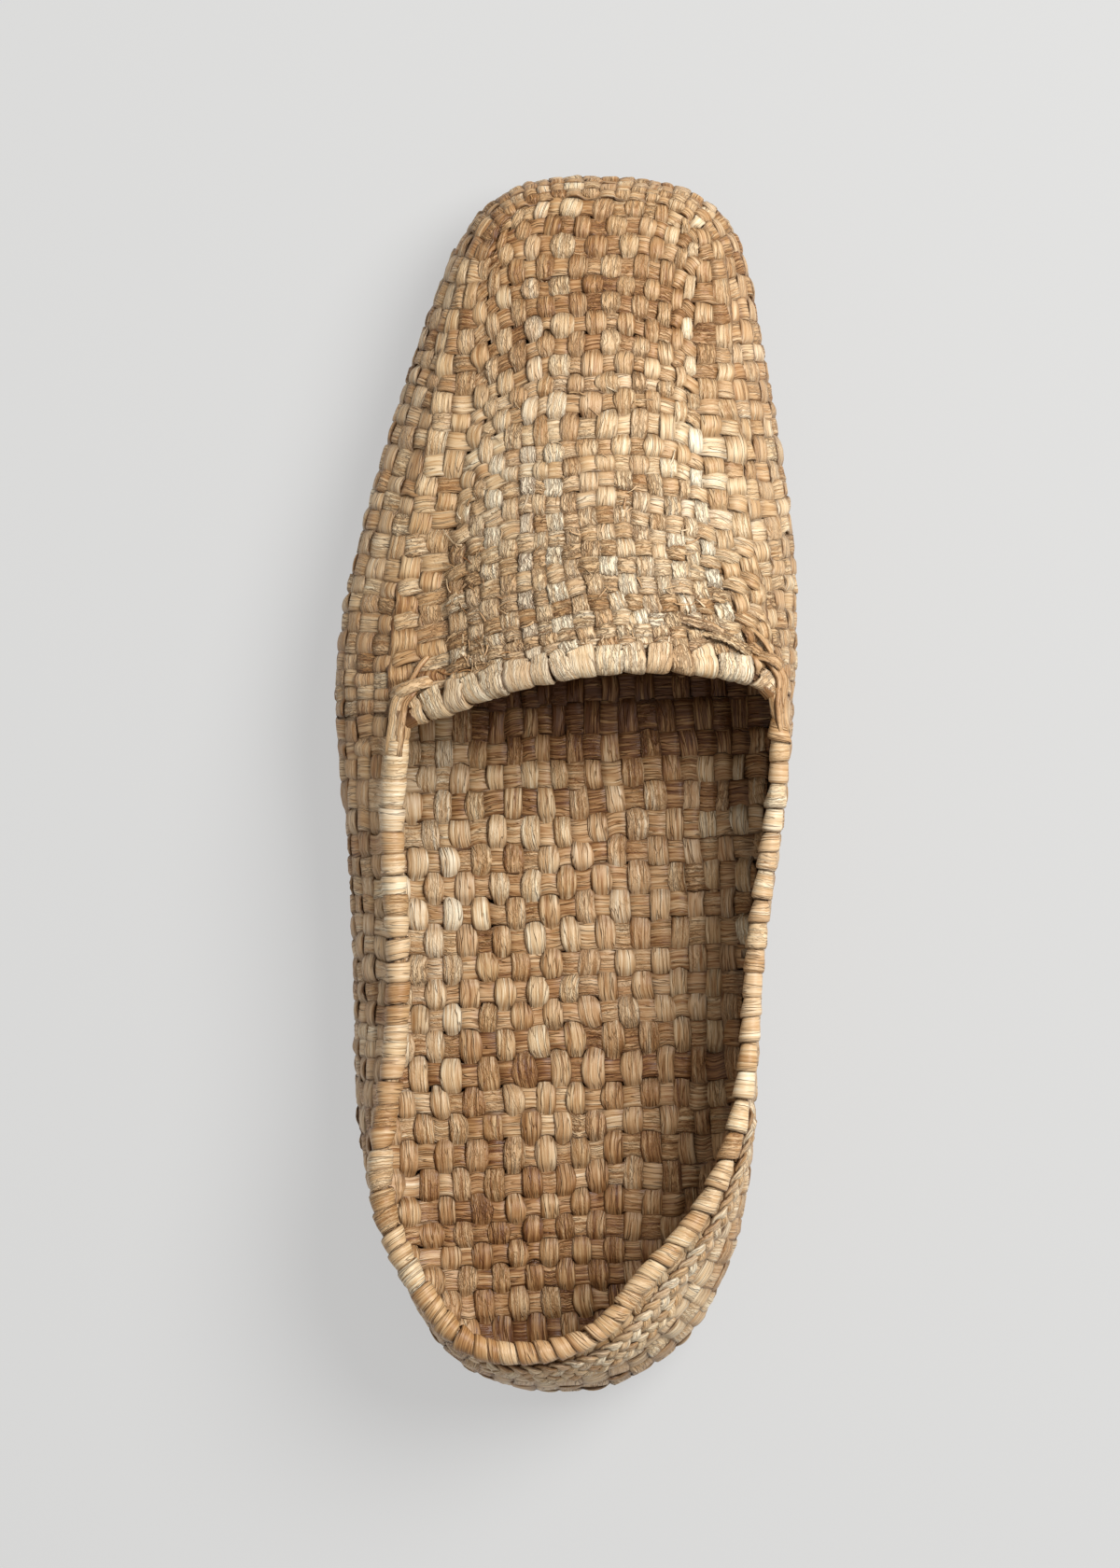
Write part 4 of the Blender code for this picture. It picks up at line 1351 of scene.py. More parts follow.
@dataclass
class Quarters(OnBasket):
    """Side and heel walls: stakes that fold over the topline's roll, and the rows that run round."""

    samples: int = 6
    fold_from: float = -38.0
    fold_to: float = 225.0
    fold_samples: int = 18
    wrap_out: float = 0.85
    bare_in: float = 1.9
    past_corner: float = 0.6
    pale_wraps: float = 0.12
    dark_heel: float = 0.24
    heel_reach: float = 0.22
    slant_spread: float = 0.7
    slant_heel: float = 3.0
    lean: float = 7.0
    corner_wide: float = 0.3
    corner_narrow: float = 0.8
    stake_straw: Straw = Straw(tone=0.56, hue=0.29)
    row_straw: Straw = Straw(tone=0.50, hue=0.42)

    def __post_init__(self) -> None:
        """Places the topline's roll along the rim."""
        b = self.basket
        self.ring = np.linspace(b.vamp_end + 0.5, b.stakes - 0.5, 700)
        rim = b.wall(self.ring, np.full_like(self.ring, b.rows))
        below = b.wall(self.ring, np.full_like(self.ring, b.rows - 1.0))
        self.roll = Roll(rim, below, b.last.sizes, gap=0.45)

    def stakes(self, rng: Rng) -> Piece:
        """Stakes from the foot up the wall, out over the roll and down inside it."""
        b = self.basket
        ring = b.vamp_end + np.arange(b.quarter) + 0.5
        level = np.linspace(0, b.rows - 0.3, int((b.rows - 0.3) * self.samples))
        up = b.wall(ring[:, None], level[None])
        run = np.interp(ring, self.ring, self.roll.run)
        angle = np.linspace(self.fold_from, self.fold_to, self.fold_samples)
        heel = np.exp(-(((ring - b.vamp_end) / b.quarter - 0.5) / self.heel_reach) ** 2)
        drift = rng.normal(size=b.quarter) * self.slant_spread + self.slant_heel * heel
        slant = drift[:, None] * np.linspace(-0.5, 0.5, self.fold_samples)
        bare = np.zeros((b.quarter, 1))
        bare[[0, -1]] = 1
        over = self.roll.at(run[:, None] + slant, angle[None], self.wrap_out - self.bare_in * bare)
        points = eased(np.concatenate([up, over], axis=1), 1)
        count = np.concatenate([level, np.full(self.fold_samples, float(b.rows))])[None]
        flatten = 1 - fade(count, b.rows - 0.6, b.rows)
        strips = Strips(points, count, (-1.0) ** np.arange(b.vamp_end, b.stakes))
        wrapped = fade(np.arange(points.shape[1])[None], len(level) - 2, len(level) + 2)
        shape = PILLOW.mixed(WRAP, wrapped)
        shape["lift"], shape["rise"] = PILLOW.lift, PILLOW.rise
        # The first and the last stake are wide on the wall and narrow inside the roll's bare ends.
        narrow = self.corner_wide * (1 - wrapped) - self.corner_narrow * wrapped
        ribbons = Ribbons()
        # The wraps are paler straw; round the heel, painted shade darkens them.
        weave(
            ribbons, strips, shape, self.stake_straw, rng, flatten=flatten,
            tone=(self.pale_wraps - self.dark_heel * heel[:, None]) * wrapped,
            crumple=-0.1 * wrapped, lean=self.lean * wrapped, narrow=1 + bare * narrow,
        )
        return ribbons.build("quarter_stakes", self.finish, Slot.UPPER, "upper", "collar_binding")

    def rows(self, rng: Rng) -> Piece:
        """Rows round the whole wall, and the higher rows round the vamp, into the throat's roll."""
        b = self.basket
        ribbons = Ribbons()
        whole = (0, b.rows, b.stakes, 0)
        over_vamp = (b.rows - 1, b.vamp_rows, b.vamp_end, self.past_corner)
        for low, high, turn, past in (whole, over_vamp):
            closed = past == 0
            count = np.linspace(-past, turn + past, turn * self.samples + 1)
            count = (count[:-1] if closed else count)[None]
            level = np.arange(low, high)[:, None] + 0.5
            points = b.wall(np.broadcast_to(count, (len(level), count.shape[1])), level)
            over = (-1.0) ** (np.arange(low, high) + 1)
            strips = Strips(points, count, over, facing=-1, closed=closed)
            if not closed:
                # The lowest of these served only to give the others their spacing.
                strips = replace(strips, points=strips.points[1:], over=strips.over[1:])
            weave(ribbons, strips, vars(PILLOW), self.row_straw, rng)
        return ribbons.build("wall_rows", self.finish, Slot.UPPER, "upper")


@dataclass
class Collar:
    """The topline's roll inside its wraps, which are the ends of the quarters' stakes."""

    quarters: Quarters
    finish: Material

    def build(self, rng: Rng) -> Piece:
        """The bundle inside the folded stakes, run on into both throat corners."""
        ribbons = Ribbons()
        self.quarters.roll.core(ribbons, rng, past=3.5)
        return ribbons.build("collar_core", self.finish, Slot.COLLAR, "collar_binding")


@dataclass
class Throat(OnBasket):
    """The roll on the vamp's back edge, with its pale crushed wraps."""

    foot_level: float = 7.3
    pitch: float = 4.8
    fold_from: float = -58.0
    fold_to: float = 215.0
    wrap_out: float = -0.3
    taper: float = 8.0
    thick: float = 0.62
    samples: int = 18
    flat_samples: int = 4
    place_spread: float = 0.5
    slant_spread: float = 1.4
    longest_tail: float = 0.32
    straw: Straw = Straw(
        tone=0.84, tone_strand=0.09, hue=0.30, crumple=0.40, loose=0.2, tilt=4.0, fill=0.95
    )

    # Height in mm of a tail's middle over the weave, at its end and at the roll.
    RISE = (-0.25, 0.10)

    def __post_init__(self) -> None:
        """Places the roll up the lateral wall, along the panel's edge and down the medial wall."""
        b = self.basket
        rise = np.linspace(self.foot_level, b.vamp_rows, 24)[:-1]
        across = np.linspace(0, b.warps, 200)
        lines = []
        for row in (0, 1):
            lateral, medial = b.wall(row, rise), b.wall(b.vamp_end - row, rise[::-1])
            line = np.concatenate([lateral, b.panel(across, row), medial])
            lines.append(eased(line[None], 30)[0])
        self.roll = Roll(*lines, b.last.sizes, gap=0.5)

    def wraps(self, middles: Array, slant: Array, tail: Array) -> Strips:
        """Strips that start flat on the vamp, pass over the roll and end beneath it.

        Args:
            middles: Distance of each strip along the roll in mm.
            slant: How far each drifts along the roll, in mm.
            tail: How far each starts on the vamp, as a share of the first weft.

        Returns:
            The strips, at a steady count of 1 so that none rises or sinks.
        """
        roll, flat = self.roll, self.flat_samples
        t = np.linspace(1, 0, flat)
        angle = np.linspace(self.fold_from, self.fold_to, self.samples)
        run = middles[:, None] + slant[:, None] * np.linspace(-0.5, 0.5, flat + self.samples)
        run, wrap = run[:, :flat], run[:, flat:]
        frame = (roll.edge, roll.inner, roll.face)
        edge, inner, face = (read_table(run, roll.run, values) for values in frame)
        back = (tail[:, None] * t)[..., None]
        rise = np.interp(t, [0, 1], self.RISE[::-1])[None, :, None]
        start = edge * (1 - back) + inner * back + face * rise
        taper = 1 - fade(np.minimum(wrap, roll.run[-1] - wrap), -1, self.taper)
        over = roll.at(wrap, angle[None], self.wrap_out - taper)
        points = eased(np.concatenate([start, over], axis=1), 1)
        return Strips(points, np.ones(points.shape[:2]), np.ones(len(middles)), depth=0.0)

    def build(self, rng: Rng) -> Piece:
        """The bundle and the wraps, which start on the first weft and end under the vamp."""
        ribbons = Ribbons()
        self.roll.core(ribbons, rng, inset=1.2, tone=0.35)
        length = self.roll.run[-1]
        number = int(length / self.pitch)
        middles = (np.arange(number) + 0.5) * length / number
        middles = middles + rng.normal(size=number) * self.place_spread
        slant = rng.normal(size=number) * self.slant_spread
        strips = self.wraps(middles, slant, rng.uniform(0.0, self.longest_tail, size=number))
        shape = {**vars(WRAP), "thick": self.thick}
        weave(ribbons, strips, shape, self.straw, rng, flatten=0.0, lean=5.0)
        return ribbons.build("throat_wraps", self.finish, Slot.THROAT, "throat_binding")


def lay_strips(
    ribbons: Ribbons, paths: Array, up: Array, width: Sizes, thick: float, straw: Straw, rng: Rng
) -> None:
    """Lays single strips that belong to no weave.

    Args:
        ribbons: The mesh that takes them.
        paths: Middle lines [strand, sample, xyz] in mm.
        up: Vectors that the strips' faces look along, [strand, sample, xyz] or one for all.
        width: Half widths in mm, as a number or [strand, sample].
        thick: Half thickness in mm.
        straw: How the strips vary.
        rng: Source of the variation.
    """
    tangent = unit(slope(paths, 1))
    normal = unit(square_to(up, tangent))
    side = unit(np.cross(normal, tangent))
    strand = rng.normal(size=(2, len(paths), 1))
    tone = straw.tone + strand[0] * straw.tone_strand
    hue = straw.hue + strand[1] * straw.hue_strand
    look = (tone, hue, straw.crumple, straw.CLEAN_LOOSE)
    ribbons.add(paths, side, normal, width, thick, *look, rng)


def smooth_path(knots: Array, samples: int) -> Array:
    """A smooth line through a few places: knots [n, xyz] joined by cubics with Catmull-Rom slopes."""
    t = np.linspace(0, len(knots) - 1, samples)
    left = np.clip(t.astype(int), 0, len(knots) - 2)
    slopes = np.gradient(knots, axis=0)
    f = (t - left)[:, None]
    return hermite(knots[left], knots[left + 1], slopes[left], slopes[left + 1], np.ones_like(f), f)


@dataclass
class Corners:
    """Where the two rolls meet: the topline's bare bundle, the band that ties it down, loose strips.

    Knots are (along, level, lift): a place past the corner on the vamp's wall, whose levels go on over
    the panel by warps, and a height over it in mm. The bundle's three strands are strand_width wide and
    strand_apart from one another, as shares of the roll's radius.
    """

    quarters: Quarters
    finish: Material
    samples: int = 22
    strand_width: float = 0.36
    strand_apart: float = 0.45
    bare: Straw = Straw(tone=0.55, tone_strand=0.10, hue=0.4, crumple=0.15)
    pale: Straw = Straw(tone=0.64, tone_strand=0.08, hue=0.3, crumple=0.4)
    crushed: Straw = Straw(tone=0.70, tone_strand=0.08, hue=0.3, crumple=1.0)

    # Half thickness in mm of the bundle's strands; half width and half thickness of the others.
    BUNDLE_THICK = 0.62
    BAND_SIZE, TAIL_SIZE, CRUSHED_SIZE = (1.35, 0.42), (0.6, 0.35), (1.1, 0.45)
    # Crushed strips lie this many warps apart.
    CRUSHED_SHIFTS = (0.0, 0.8)
    BUNDLE = ((0.0, 7.55, 1.0), (0.6, 7.70, 0.9), (1.1, 7.8, 0.0), (1.6, 7.9, -1.5))
    BAND = ((1.0, 7.1, -0.8), (0.95, 7.4, 0.9), (1.0, 7.75, 1.9), (1.05, 8.15, 1.2), (1.1, 8.4, -0.9))
    TAIL = ((1.1, 7.75, 0.3), (1.7, 7.9, 0.9), (2.5, 8.1, 0.5), (3.1, 8.3, -0.8))
    CRUSHED = ((0.6, 9.0, -0.9), (0.8, 9.4, 0.6), (1.3, 10.0, 0.9), (1.5, 10.7, 0.5), (1.8, 11.3, -0.9))

    def knots(self, table: tuple[tuple[float, float, float], ...], medial: bool, up: Array) -> Array:
        """Points of a table of knots, on the lateral side or mirrored to the medial one."""
        b = self.quarters.basket
        along, level, lift = np.array(table).T
        count = 2 * b.vamp_rows + b.warps - level if medial else level
        return b.weft_path(count, along) + up * lift[:, None]

    def build(self, rng: Rng) -> Piece:
        """Both corners as one piece."""
        ribbons = Ribbons()
        roll = self.quarters.roll
        for medial in (False, True):
            end = 0 if medial else -1
            centre, radius = roll.centre[end], roll.radius[end]
            back = roll.along[end] * (-1 if medial else 1)
            up = unit(roll.face[end] + np.array([0, 0, 0.8]))

            def lay(knots: Array, width: float, thick: float, straw: Straw) -> None:
                """Lays one strip through its knots."""
                lay_strips(ribbons, smooth_path(knots, self.samples)[None], up, width, thick, straw, rng)

            aside = np.cross(up, back) * (self.strand_apart * radius)
            under = np.array([centre - back * 6, centre]) + up * (radius - 0.9)
            bundle = np.concatenate([under, self.knots(self.BUNDLE, medial, up)])
            for k in (-1, 0, 1):
                lay(bundle + aside * k, self.strand_width * radius, self.BUNDLE_THICK, self.bare)
            lay(self.knots(self.BAND, medial, up), *self.BAND_SIZE, self.pale)
            lay(self.knots(self.TAIL, medial, up), *self.TAIL_SIZE, self.bare)
            for shift in self.CRUSHED_SHIFTS if medial else ():
                table = [(along + 0.9 * shift, level + shift, lift) for along, level, lift in self.CRUSHED]
                lay(self.knots(table, medial, up), *self.CRUSHED_SIZE, self.crushed)
        return ribbons.build("corner_strips", self.finish, Slot.COLLAR, "collar_binding", "upper")


@dataclass
class HeelPlait(OnBasket):
    """Three-strand plaits of pale straw laid along the outside of the heel, under the roll.

    Each course gives its start and end as shares of the way from the medial throat corner round the
    heel, and its level. Over tuck_run at both ends it sinks into the wall by tuck.
    """

    pitch: float = 9.0
    half_width: float = 1.7
    half_depth: float = 0.5
    lift: float = 0.3
    strand_width: float = 1.2
    strand_thick: float = 0.5
    tuck: float = 1.6
    tuck_run: float = 6.0
    samples: int = 200
    straw: Straw = Straw(tone=0.64, tone_strand=0.10, hue=0.3, crumple=0.3)

    COURSES = ((0.25, 0.54, 6.2), (0.36, 0.50, 5.35))

    def build(self, rng: Rng) -> Piece:
        """All courses as one piece."""
        ribbons = Ribbons()
        for start, end, level in self.COURSES:
            self.course(ribbons, start, end, level, rng)
        return ribbons.build("heel_plait", self.finish, Slot.COLLAR, "collar_binding", "upper")

    def course(self, ribbons: Ribbons, start: float, end: float, level: float, rng: Rng) -> None:
        """Each strand swings across as a sine of the way along and over and under as one twice as fast."""
        b = self.basket
        ring = b.vamp_end + b.quarter * np.linspace(start, end, self.samples)
        middle = b.wall(ring, level + 0 * ring)
        along = unit(np.gradient(middle, axis=0))
        up = unit(b.wall(ring, level + 0.4) - b.wall(ring, level - 0.4))
        out = unit(np.cross(along, up))
        out = out * np.sign(np.sum(out[:1] * (middle[:1] * [1, 1, 0]), axis=-1, keepdims=True))
        run = arc_lengths(middle)
        phase = 2 * np.pi * (run / self.pitch + np.arange(3)[:, None] / 3)
        across = self.half_width * np.sin(phase)
        over = self.half_depth * np.sin(2 * phase) + self.lift
        paths = middle + up * across[..., None] + out * over[..., None]
        shown = between(run, 0, run[-1], 0, self.tuck_run)
        paths = paths - out * (self.tuck * (1 - shown))[..., None]
        lay_strips(ribbons, paths, out[None], self.strand_width, self.strand_thick, self.straw, rng)


@dataclass
class Frays(OnBasket):
    """Torn fibres that stand off the vamp, most of them near the throat and the ridges."""

    number: int = 130
    samples: int = 7
    reach: float = 15.0
    crowding: float = 1.8
    on_ridge: float = 0.5
    sunk: float = 0.35
    thick: float = 0.08
    curl: float = 0.5
    taper: float = 0.6
    straw: Straw = Straw(tone=0.56, tone_strand=0.14, hue=0.35, crumple=0.1)

    # Ranges in mm of the fibres' lengths and half widths, and of their rise as a share of the length.
    LENGTHS, WIDTHS, RISES = (1.2, 3.6), (0.10, 0.32), (0.0, 0.25)
    # Nearest place to the lateral ridge and the throat, in strips, and the spread from the ridge.
    NEAREST_RIDGE, NEAREST_THROAT, FROM_RIDGE = 0.2, 0.3, 1.5

    def build(self, rng: Rng) -> Piece:
        """Each fibre leaves the weave at a low angle, rises and curls aside.

        Its path is length * (way t + curl t^2 + up lift t^1.6), with t from 0 at its root to 1.

        Args:
            rng: Source of the places and the shapes.

        Returns:
            The fibres as one piece.
        """
        b = self.basket
        each, step = (self.number, 1), 0.3
        along = rng.uniform(0, 1, self.number) ** self.crowding * self.reach + self.NEAREST_THROAT
        anywhere = rng.random(self.number) < self.on_ridge
        spread = rng.uniform(0.5, b.warps - 0.5, self.number)
        ridge = np.abs(rng.normal(size=self.number)) * self.FROM_RIDGE + self.NEAREST_RIDGE
        across = np.where(anywhere, spread, ridge)
        base = b.panel(across, along)
        aside = b.panel(across + step, along) - base
        up = unit(np.cross(aside, b.panel(across, along + step) - base))
        aside = unit(aside)
        turn = rng.uniform(0, 2 * np.pi, each)
        way = aside * np.cos(turn) + np.cross(up, aside) * np.sin(turn)
        curl = np.cross(up, way) * rng.normal(size=each) * self.curl
        length = rng.uniform(*self.LENGTHS, each)[..., None]
        t = np.linspace(0, 1, self.samples)[None, :, None]
        lift = rng.uniform(*self.RISES, each)[..., None]
        paths = length * (way[:, None] * t + curl[:, None] * t**2 + up[:, None] * lift * t**1.6)
        paths = base[:, None] + paths - up[:, None] * self.sunk
        width = rng.uniform(*self.WIDTHS, each) * (1 - self.taper * t[..., 0])
        ribbons = Ribbons()
        lay_strips(ribbons, paths, up[:, None], width, self.thick, self.straw, rng)
        return ribbons.build("vamp_frays", self.finish, Slot.UPPER, "upper")


@dataclass
class Mat(OnBasket):
    """A flat weave cut to the shoe's outline: straight warps and wefts on a turned lattice.

    The lists below of two ends in mm tell where a change along y or x begins and is complete: plain
    squares instead of seeds, painted shade at the heel seat, painted shade under the vamp, and painted
    light beside the lateral wall.
    """

    name: str
    slot: Slot
    node: str
    inset: float
    warp_pitch: float
    weft_pitch: float
    turn: float
    height: float
    curl: float
    curl_width: float
    warp_cell: Cell
    weft_cell: Cell
    warp_straw: Straw
    weft_straw: Straw
    samples: int = 6
    medial_squares: bool = True
    climbs: bool = True
    spread: float = 0.10
    drift: float = 0.35
    shallow: float = 0.6
    least_width: float = 0.25
    # Tone for painted shade at the heel seat and under the vamp, and for painted light beside the lateral
    # wall.
    worn: float = 0.22
    shaded: float = 0.0
    pale_side: float = 0.0
    seed: int = 40

    SQUARES_X, SQUARES_Y = (12, 32), (-14, 12)
    WORN_Y, SHADED_Y, PALE_X = (-100, -45), (0, 18), (-30, -12)
    HEIGHTS = np.linspace(0, 20, 41)
    STATIONS = 900
    # Waves in mm of the strips' drift, which fades out over the last mm before the outline.
    DRIFT_WAVES, DRIFT_FADE = (22, 60), 9
    SHORTEST = 2.0
    # Only every so many stations are looked through for the nearest one, in pieces of the whole mesh.
    STRIDE = 3
    PIECES = 50

    def __post_init__(self) -> None:
        """Turns the inset outline into the lattice's own axes."""
        last = self.basket.last
        s = np.linspace(0, last.length, self.STATIONS, endpoint=False)
        self.base, self.inward = last.columns(s)[:, :2], last.inward(s)
        self.limits = self.inner_face(s) + self.inset
        edge_height = last.sizes.tread_z(self.base[:, 1]) + self.height + self.curl
        insets = self.limit_at(np.arange(len(s)), edge_height)
        self.outline = self.base + self.inward * insets[:, None]
        angle = math.radians(self.turn)
        self.across = np.array([math.cos(angle), math.sin(angle)])
        self.along = np.array([-math.sin(angle), math.cos(angle)])
        self.local = np.stack([self.outline @ self.across, self.outline @ self.along], axis=1)
        self.edges = []
        for axis, pitch in enumerate((self.warp_pitch, self.weft_pitch)):
            half = 2 * math.ceil(np.abs(self.local[:, axis]).max() / pitch / 2) + 2
            edges = uneven_edges(2 * half, self.spread, np.random.default_rng(self.seed + axis))
            self.edges.append((edges - half) * pitch)

    def inner_face(self, s: Array) -> Array:
        """Insets of the wall's inner face, or of its foot for a flat mat, [station, height].

        The inner face is the outer one moved by the wall along the profile's own normal.
        """
        last = self.basket.last
        if not self.climbs:
            return np.repeat(last.columns(s)[:, 2:3], len(self.HEIGHTS), axis=1)
        outer = last.wall(s[:, None], np.linspace(0, last.sizes.belly_row, 25)[None])
        inset = np.sum((outer[..., :2] - self.base[:, None]) * self.inward[:, None], axis=-1)
        rise, back = np.gradient(outer[..., 2], axis=1), np.gradient(inset, axis=1)
        share = last.sizes.wall / np.hypot(rise, back)
        inset, height = inset + rise * share, outer[..., 2] - back * share
        return np.array([np.interp(self.HEIGHTS, line, row) for line, row in zip(height, inset)])

    def limit_at(self, station: Array, height: Array) -> Array:
        """The least inset at stations and heights, read between two heights of the table."""
        place = np.clip(height / self.HEIGHTS[1], 0, len(self.HEIGHTS) - 1.001)
        left = np.floor(place).astype(int)
        f = place - left
        return self.limits[station, left] * (1 - f) + self.limits[station, left + 1] * f

    def nearest(self, plan: Array, line: Array) -> tuple[Array, Array]:
        """The nearest station of a line to each place, and the distance to it.

        Args:
            plan: Places [..., xy] in mm.
            line: The outer base line or the mat's outline [station, xy].

        Returns:
            Stations and distances, each of the shape of plan without its last axis.
        """
        near = []
        for part in np.array_split(plan.reshape(-1, 2), self.PIECES):
            apart = part[:, None] - line[None, :: self.STRIDE]
            apart = np.hypot(apart[..., 0], apart[..., 1])
            near.append([self.STRIDE * np.argmin(apart, axis=1), np.min(apart, axis=1)])
        station, distance = (np.concatenate(parts).reshape(plan.shape[:-1]) for parts in zip(*near))
        return station, distance

    def trimmed(self, points: Array) -> Array:
        """Moves points [..., xyz] that pass the least inset back onto it."""
        station, _ = self.nearest(points[..., :2], self.base)
        inward = self.inward[station]
        inset = np.sum((points[..., :2] - self.base[station]) * inward, axis=-1)
        over = np.maximum(self.limit_at(station, points[..., 2]) - inset, 0)
        plan = points[..., :2] + inward * over[..., None]
        return np.concatenate([plan, points[..., 2:]], axis=-1)

    def narrowed(self, plan: Array, half: float) -> Array:
        """Share of its width that a strip keeps so that its edge stays inside the outline.

        A strip at a distance d from the outline, whose run makes an angle a with it, has room for a half
        width of d / cos a.

        Args:
            plan: Middle lines [strand, sample, xy].
            half: The strips' half width in mm.

        Returns:
            The shares, from least_width to 1.
        """
        station, distance = self.nearest(plan, self.outline)
        beside = np.sum(unit(slope(plan, 1)) * self.inward[station], axis=-1)
        beside = np.sqrt(np.clip(1 - beside**2, 0, 1))
        share = np.clip(distance / (half * beside + 0.01), self.least_width, 1)
        return eased(share[..., None], 2)[..., 0]

    def border(self, plan: Array) -> Array:
        """Distance in plan to the outline, in mm."""
        return self.nearest(plan, self.outline)[1]

    def spans(self, axis: int, lines: Array) -> tuple[Array, Array]:
        """Where each straight line of the lattice enters and leaves the outline.

        Args:
            axis: 0 for warps, which lie at a distance across, 1 for wefts.
            lines: The distances.

        Returns:
            The lower and upper ends along the other axis.
        """
        fixed, free = self.local[:, axis], self.local[:, 1 - axis]
        after_fixed, after_free = np.roll(fixed, -1), np.roll(free, -1)
        lines = lines[:, None]
        crosses = (fixed > lines) != (after_fixed > lines)
        t = (lines - fixed) / np.where(crosses, after_fixed - fixed, 1.0)
        hit = free + t * (after_free - free)
        low = np.where(crosses, hit, np.inf).min(axis=1)
        high = np.where(crosses, hit, -np.inf).max(axis=1)
        return low, high

    def surface(self, plan: Array) -> Array:
        """Lifts plan points to the mat's face, which curls up near the wall.

        Height is tread + height + curl * (1 - d / curl_width)^2, where d is the distance to the outline.
        """
        curl = self.curl * np.clip(1 - self.border(plan) / self.curl_width, 0, 1) ** 2
        z = self.basket.last.sizes.tread_z(plan[..., 1]) + self.height + curl
        return np.concatenate([plan, z[..., None]], axis=-1)

    def family(self, axis: int) -> tuple[Strips, Array]:
        """Warps, axis 0, or wefts, axis 1, clipped to the outline.

        Args:
            axis: Which of the two.

        Returns:
            The strips, and their middle lines in plan.
        """
        pitch, other = (self.warp_pitch, self.weft_pitch)[:: 1 if axis == 0 else -1]
        edges, crossed = self.edges[axis], self.edges[1 - axis]
        index = np.arange(len(edges) - 1)
        lines = (edges[1:] + edges[:-1]) / 2
        low, high = self.spans(axis, lines)
        keep = high - low > self.SHORTEST * pitch
        index, lines, low, high = index[keep], lines[keep], low[keep], high[keep]
        t = np.linspace(0, 1, int((high - low).max() / other * self.samples))[None]
        free = low[:, None] * (1 - t) + high[:, None] * t
        fixed = np.broadcast_to(lines[:, None], free.shape)
        pair = (fixed, free) if axis == 0 else (free, fixed)
        plan = pair[0][..., None] * self.across + pair[1][..., None] * self.along
        x, y = plan[..., 0], plan[..., 1]
        drift = [wavy(x, y, self.seed + 2 + k, *self.DRIFT_WAVES) for k in range(2)]
        loose = self.drift * fade(self.border(plan), 0, self.DRIFT_FADE)
        plan = plan + loose[..., None] * np.stack(drift, axis=-1)
        count = np.interp(free, crossed, np.arange(len(crossed)))
        inside = self.border(plan).max(axis=1) > self.shallow * pitch
        plan, count, index = plan[inside], count[inside], index[inside]
        over = (-1.0) ** (index + axis)
        facing = -1 if axis == 0 else 1
        return Strips(self.surface(plan), count, over, facing=facing, depth=0.0), plan

    def tones(self, plan: Array) -> Array:
        """What painted shade at the heel seat and under the vamp, and painted light beside the lateral
        wall, add to the straw's tone at each place.
        """
        x, y = plan[..., 0], plan[..., 1]
        worn = self.worn * (1 - fade(y, *self.WORN_Y))
        pale = self.pale_side * (1 - fade(x, *self.PALE_X))
        return pale - worn - self.shaded * fade(y, *self.SHADED_Y)

    def build(self, rng: Rng) -> list[Piece]:
        """The mat's warps and its wefts, as two pieces."""
        pieces = []
        families = (
            ("warps", self.warp_cell, self.warp_straw, self.warp_pitch),
            ("wefts", self.weft_cell, self.weft_straw, self.weft_pitch),
        )
        for axis, (word, cell, straw, pitch) in enumerate(families):
            strips, plan = self.family(axis)
            x, y = plan[..., 0], plan[..., 1]
            squares = np.maximum(fade(x, *self.SQUARES_X), fade(y, *self.SQUARES_Y))
            shape = cell.mixed(PILLOW, squares if self.medial_squares else 0 * squares)
            narrow = self.narrowed(plan, pitch / 2)
            ribbons = Ribbons(self.trimmed)
            weave(ribbons, strips, shape, straw, rng, tone=self.tones(plan), narrow=narrow)
            pieces.append(ribbons.build(f"{self.name}_{word}", self.finish, self.slot, self.node))
        return pieces


@dataclass
class SoleEdge(OnBasket):
    """Two twisted cords round the sole's side, one over the other.

    Each lies at a share of the sole's thickness. A ply's distance from the cord's centre and its half
    width and half thickness are shares of the cord's radius.
    """

    radius: float = 1.3
    lay: float = 9.0
    plies: int = 3
    off_centre: float = 0.42
    ply_width: float = 0.62
    ply_thick: float = 0.55
    samples: int = 560
    straw: Straw = Straw(tone=0.42, tone_strand=0.08, hue=0.45, crumple=0.2)

    # Share of the sole's thickness, and the way the cord is twisted.
    CORDS = ((0.26, 1), (0.74, -1))
    # The cords are marked a little less clean and lit: some dirt all over, and painted shade on their sides
    # and edges.
    CLEAN = 0.7

    def build(self, rng: Rng) -> Piece:
        """Each ply winds round its cord's centre line as a helix of the cord's lay."""
        last, straw = self.basket.last, self.straw
        s = np.linspace(0, last.length, self.samples, endpoint=False)
        columns, inward = last.columns(s), last.inward(s)
        plan = columns[:, :2] + inward * columns[:, 2:3]
        outward = np.concatenate([-inward, np.zeros((len(s), 1))], axis=1)
        turns = round(last.length / self.lay)
        start = 2 * np.pi * np.arange(self.plies)[:, None] / self.plies
        ribbons = Ribbons()
        for level, twist in self.CORDS:
            z = last.sizes.tread_z(plan[:, 1]) + last.sizes.sole * level
            middle = np.concatenate([plan, z[:, None]], axis=1)
            angle = (twist * 2 * np.pi * turns * s / last.length + start)[..., None]
            ray = outward * np.cos(angle) + np.array([0, 0, 1.0]) * np.sin(angle)
            centre = middle + ray * self.radius * self.off_centre
            tangent = unit(slope(centre, 1, True))
            normal = unit(square_to(ray, tangent))
            side = np.cross(normal, tangent)
            tone = straw.tone + rng.normal(size=(self.plies, 1)) * straw.tone_strand
            width, thick = self.radius * self.ply_width, self.radius * self.ply_thick
            look = (tone, straw.hue, straw.crumple, self.CLEAN)
            ribbons.add(centre, side, normal, width, thick, *look, rng, closed=True)
        return ribbons.build("sole_edge_cords", self.finish, Slot.SOLE, "outsole")


# ---- studio


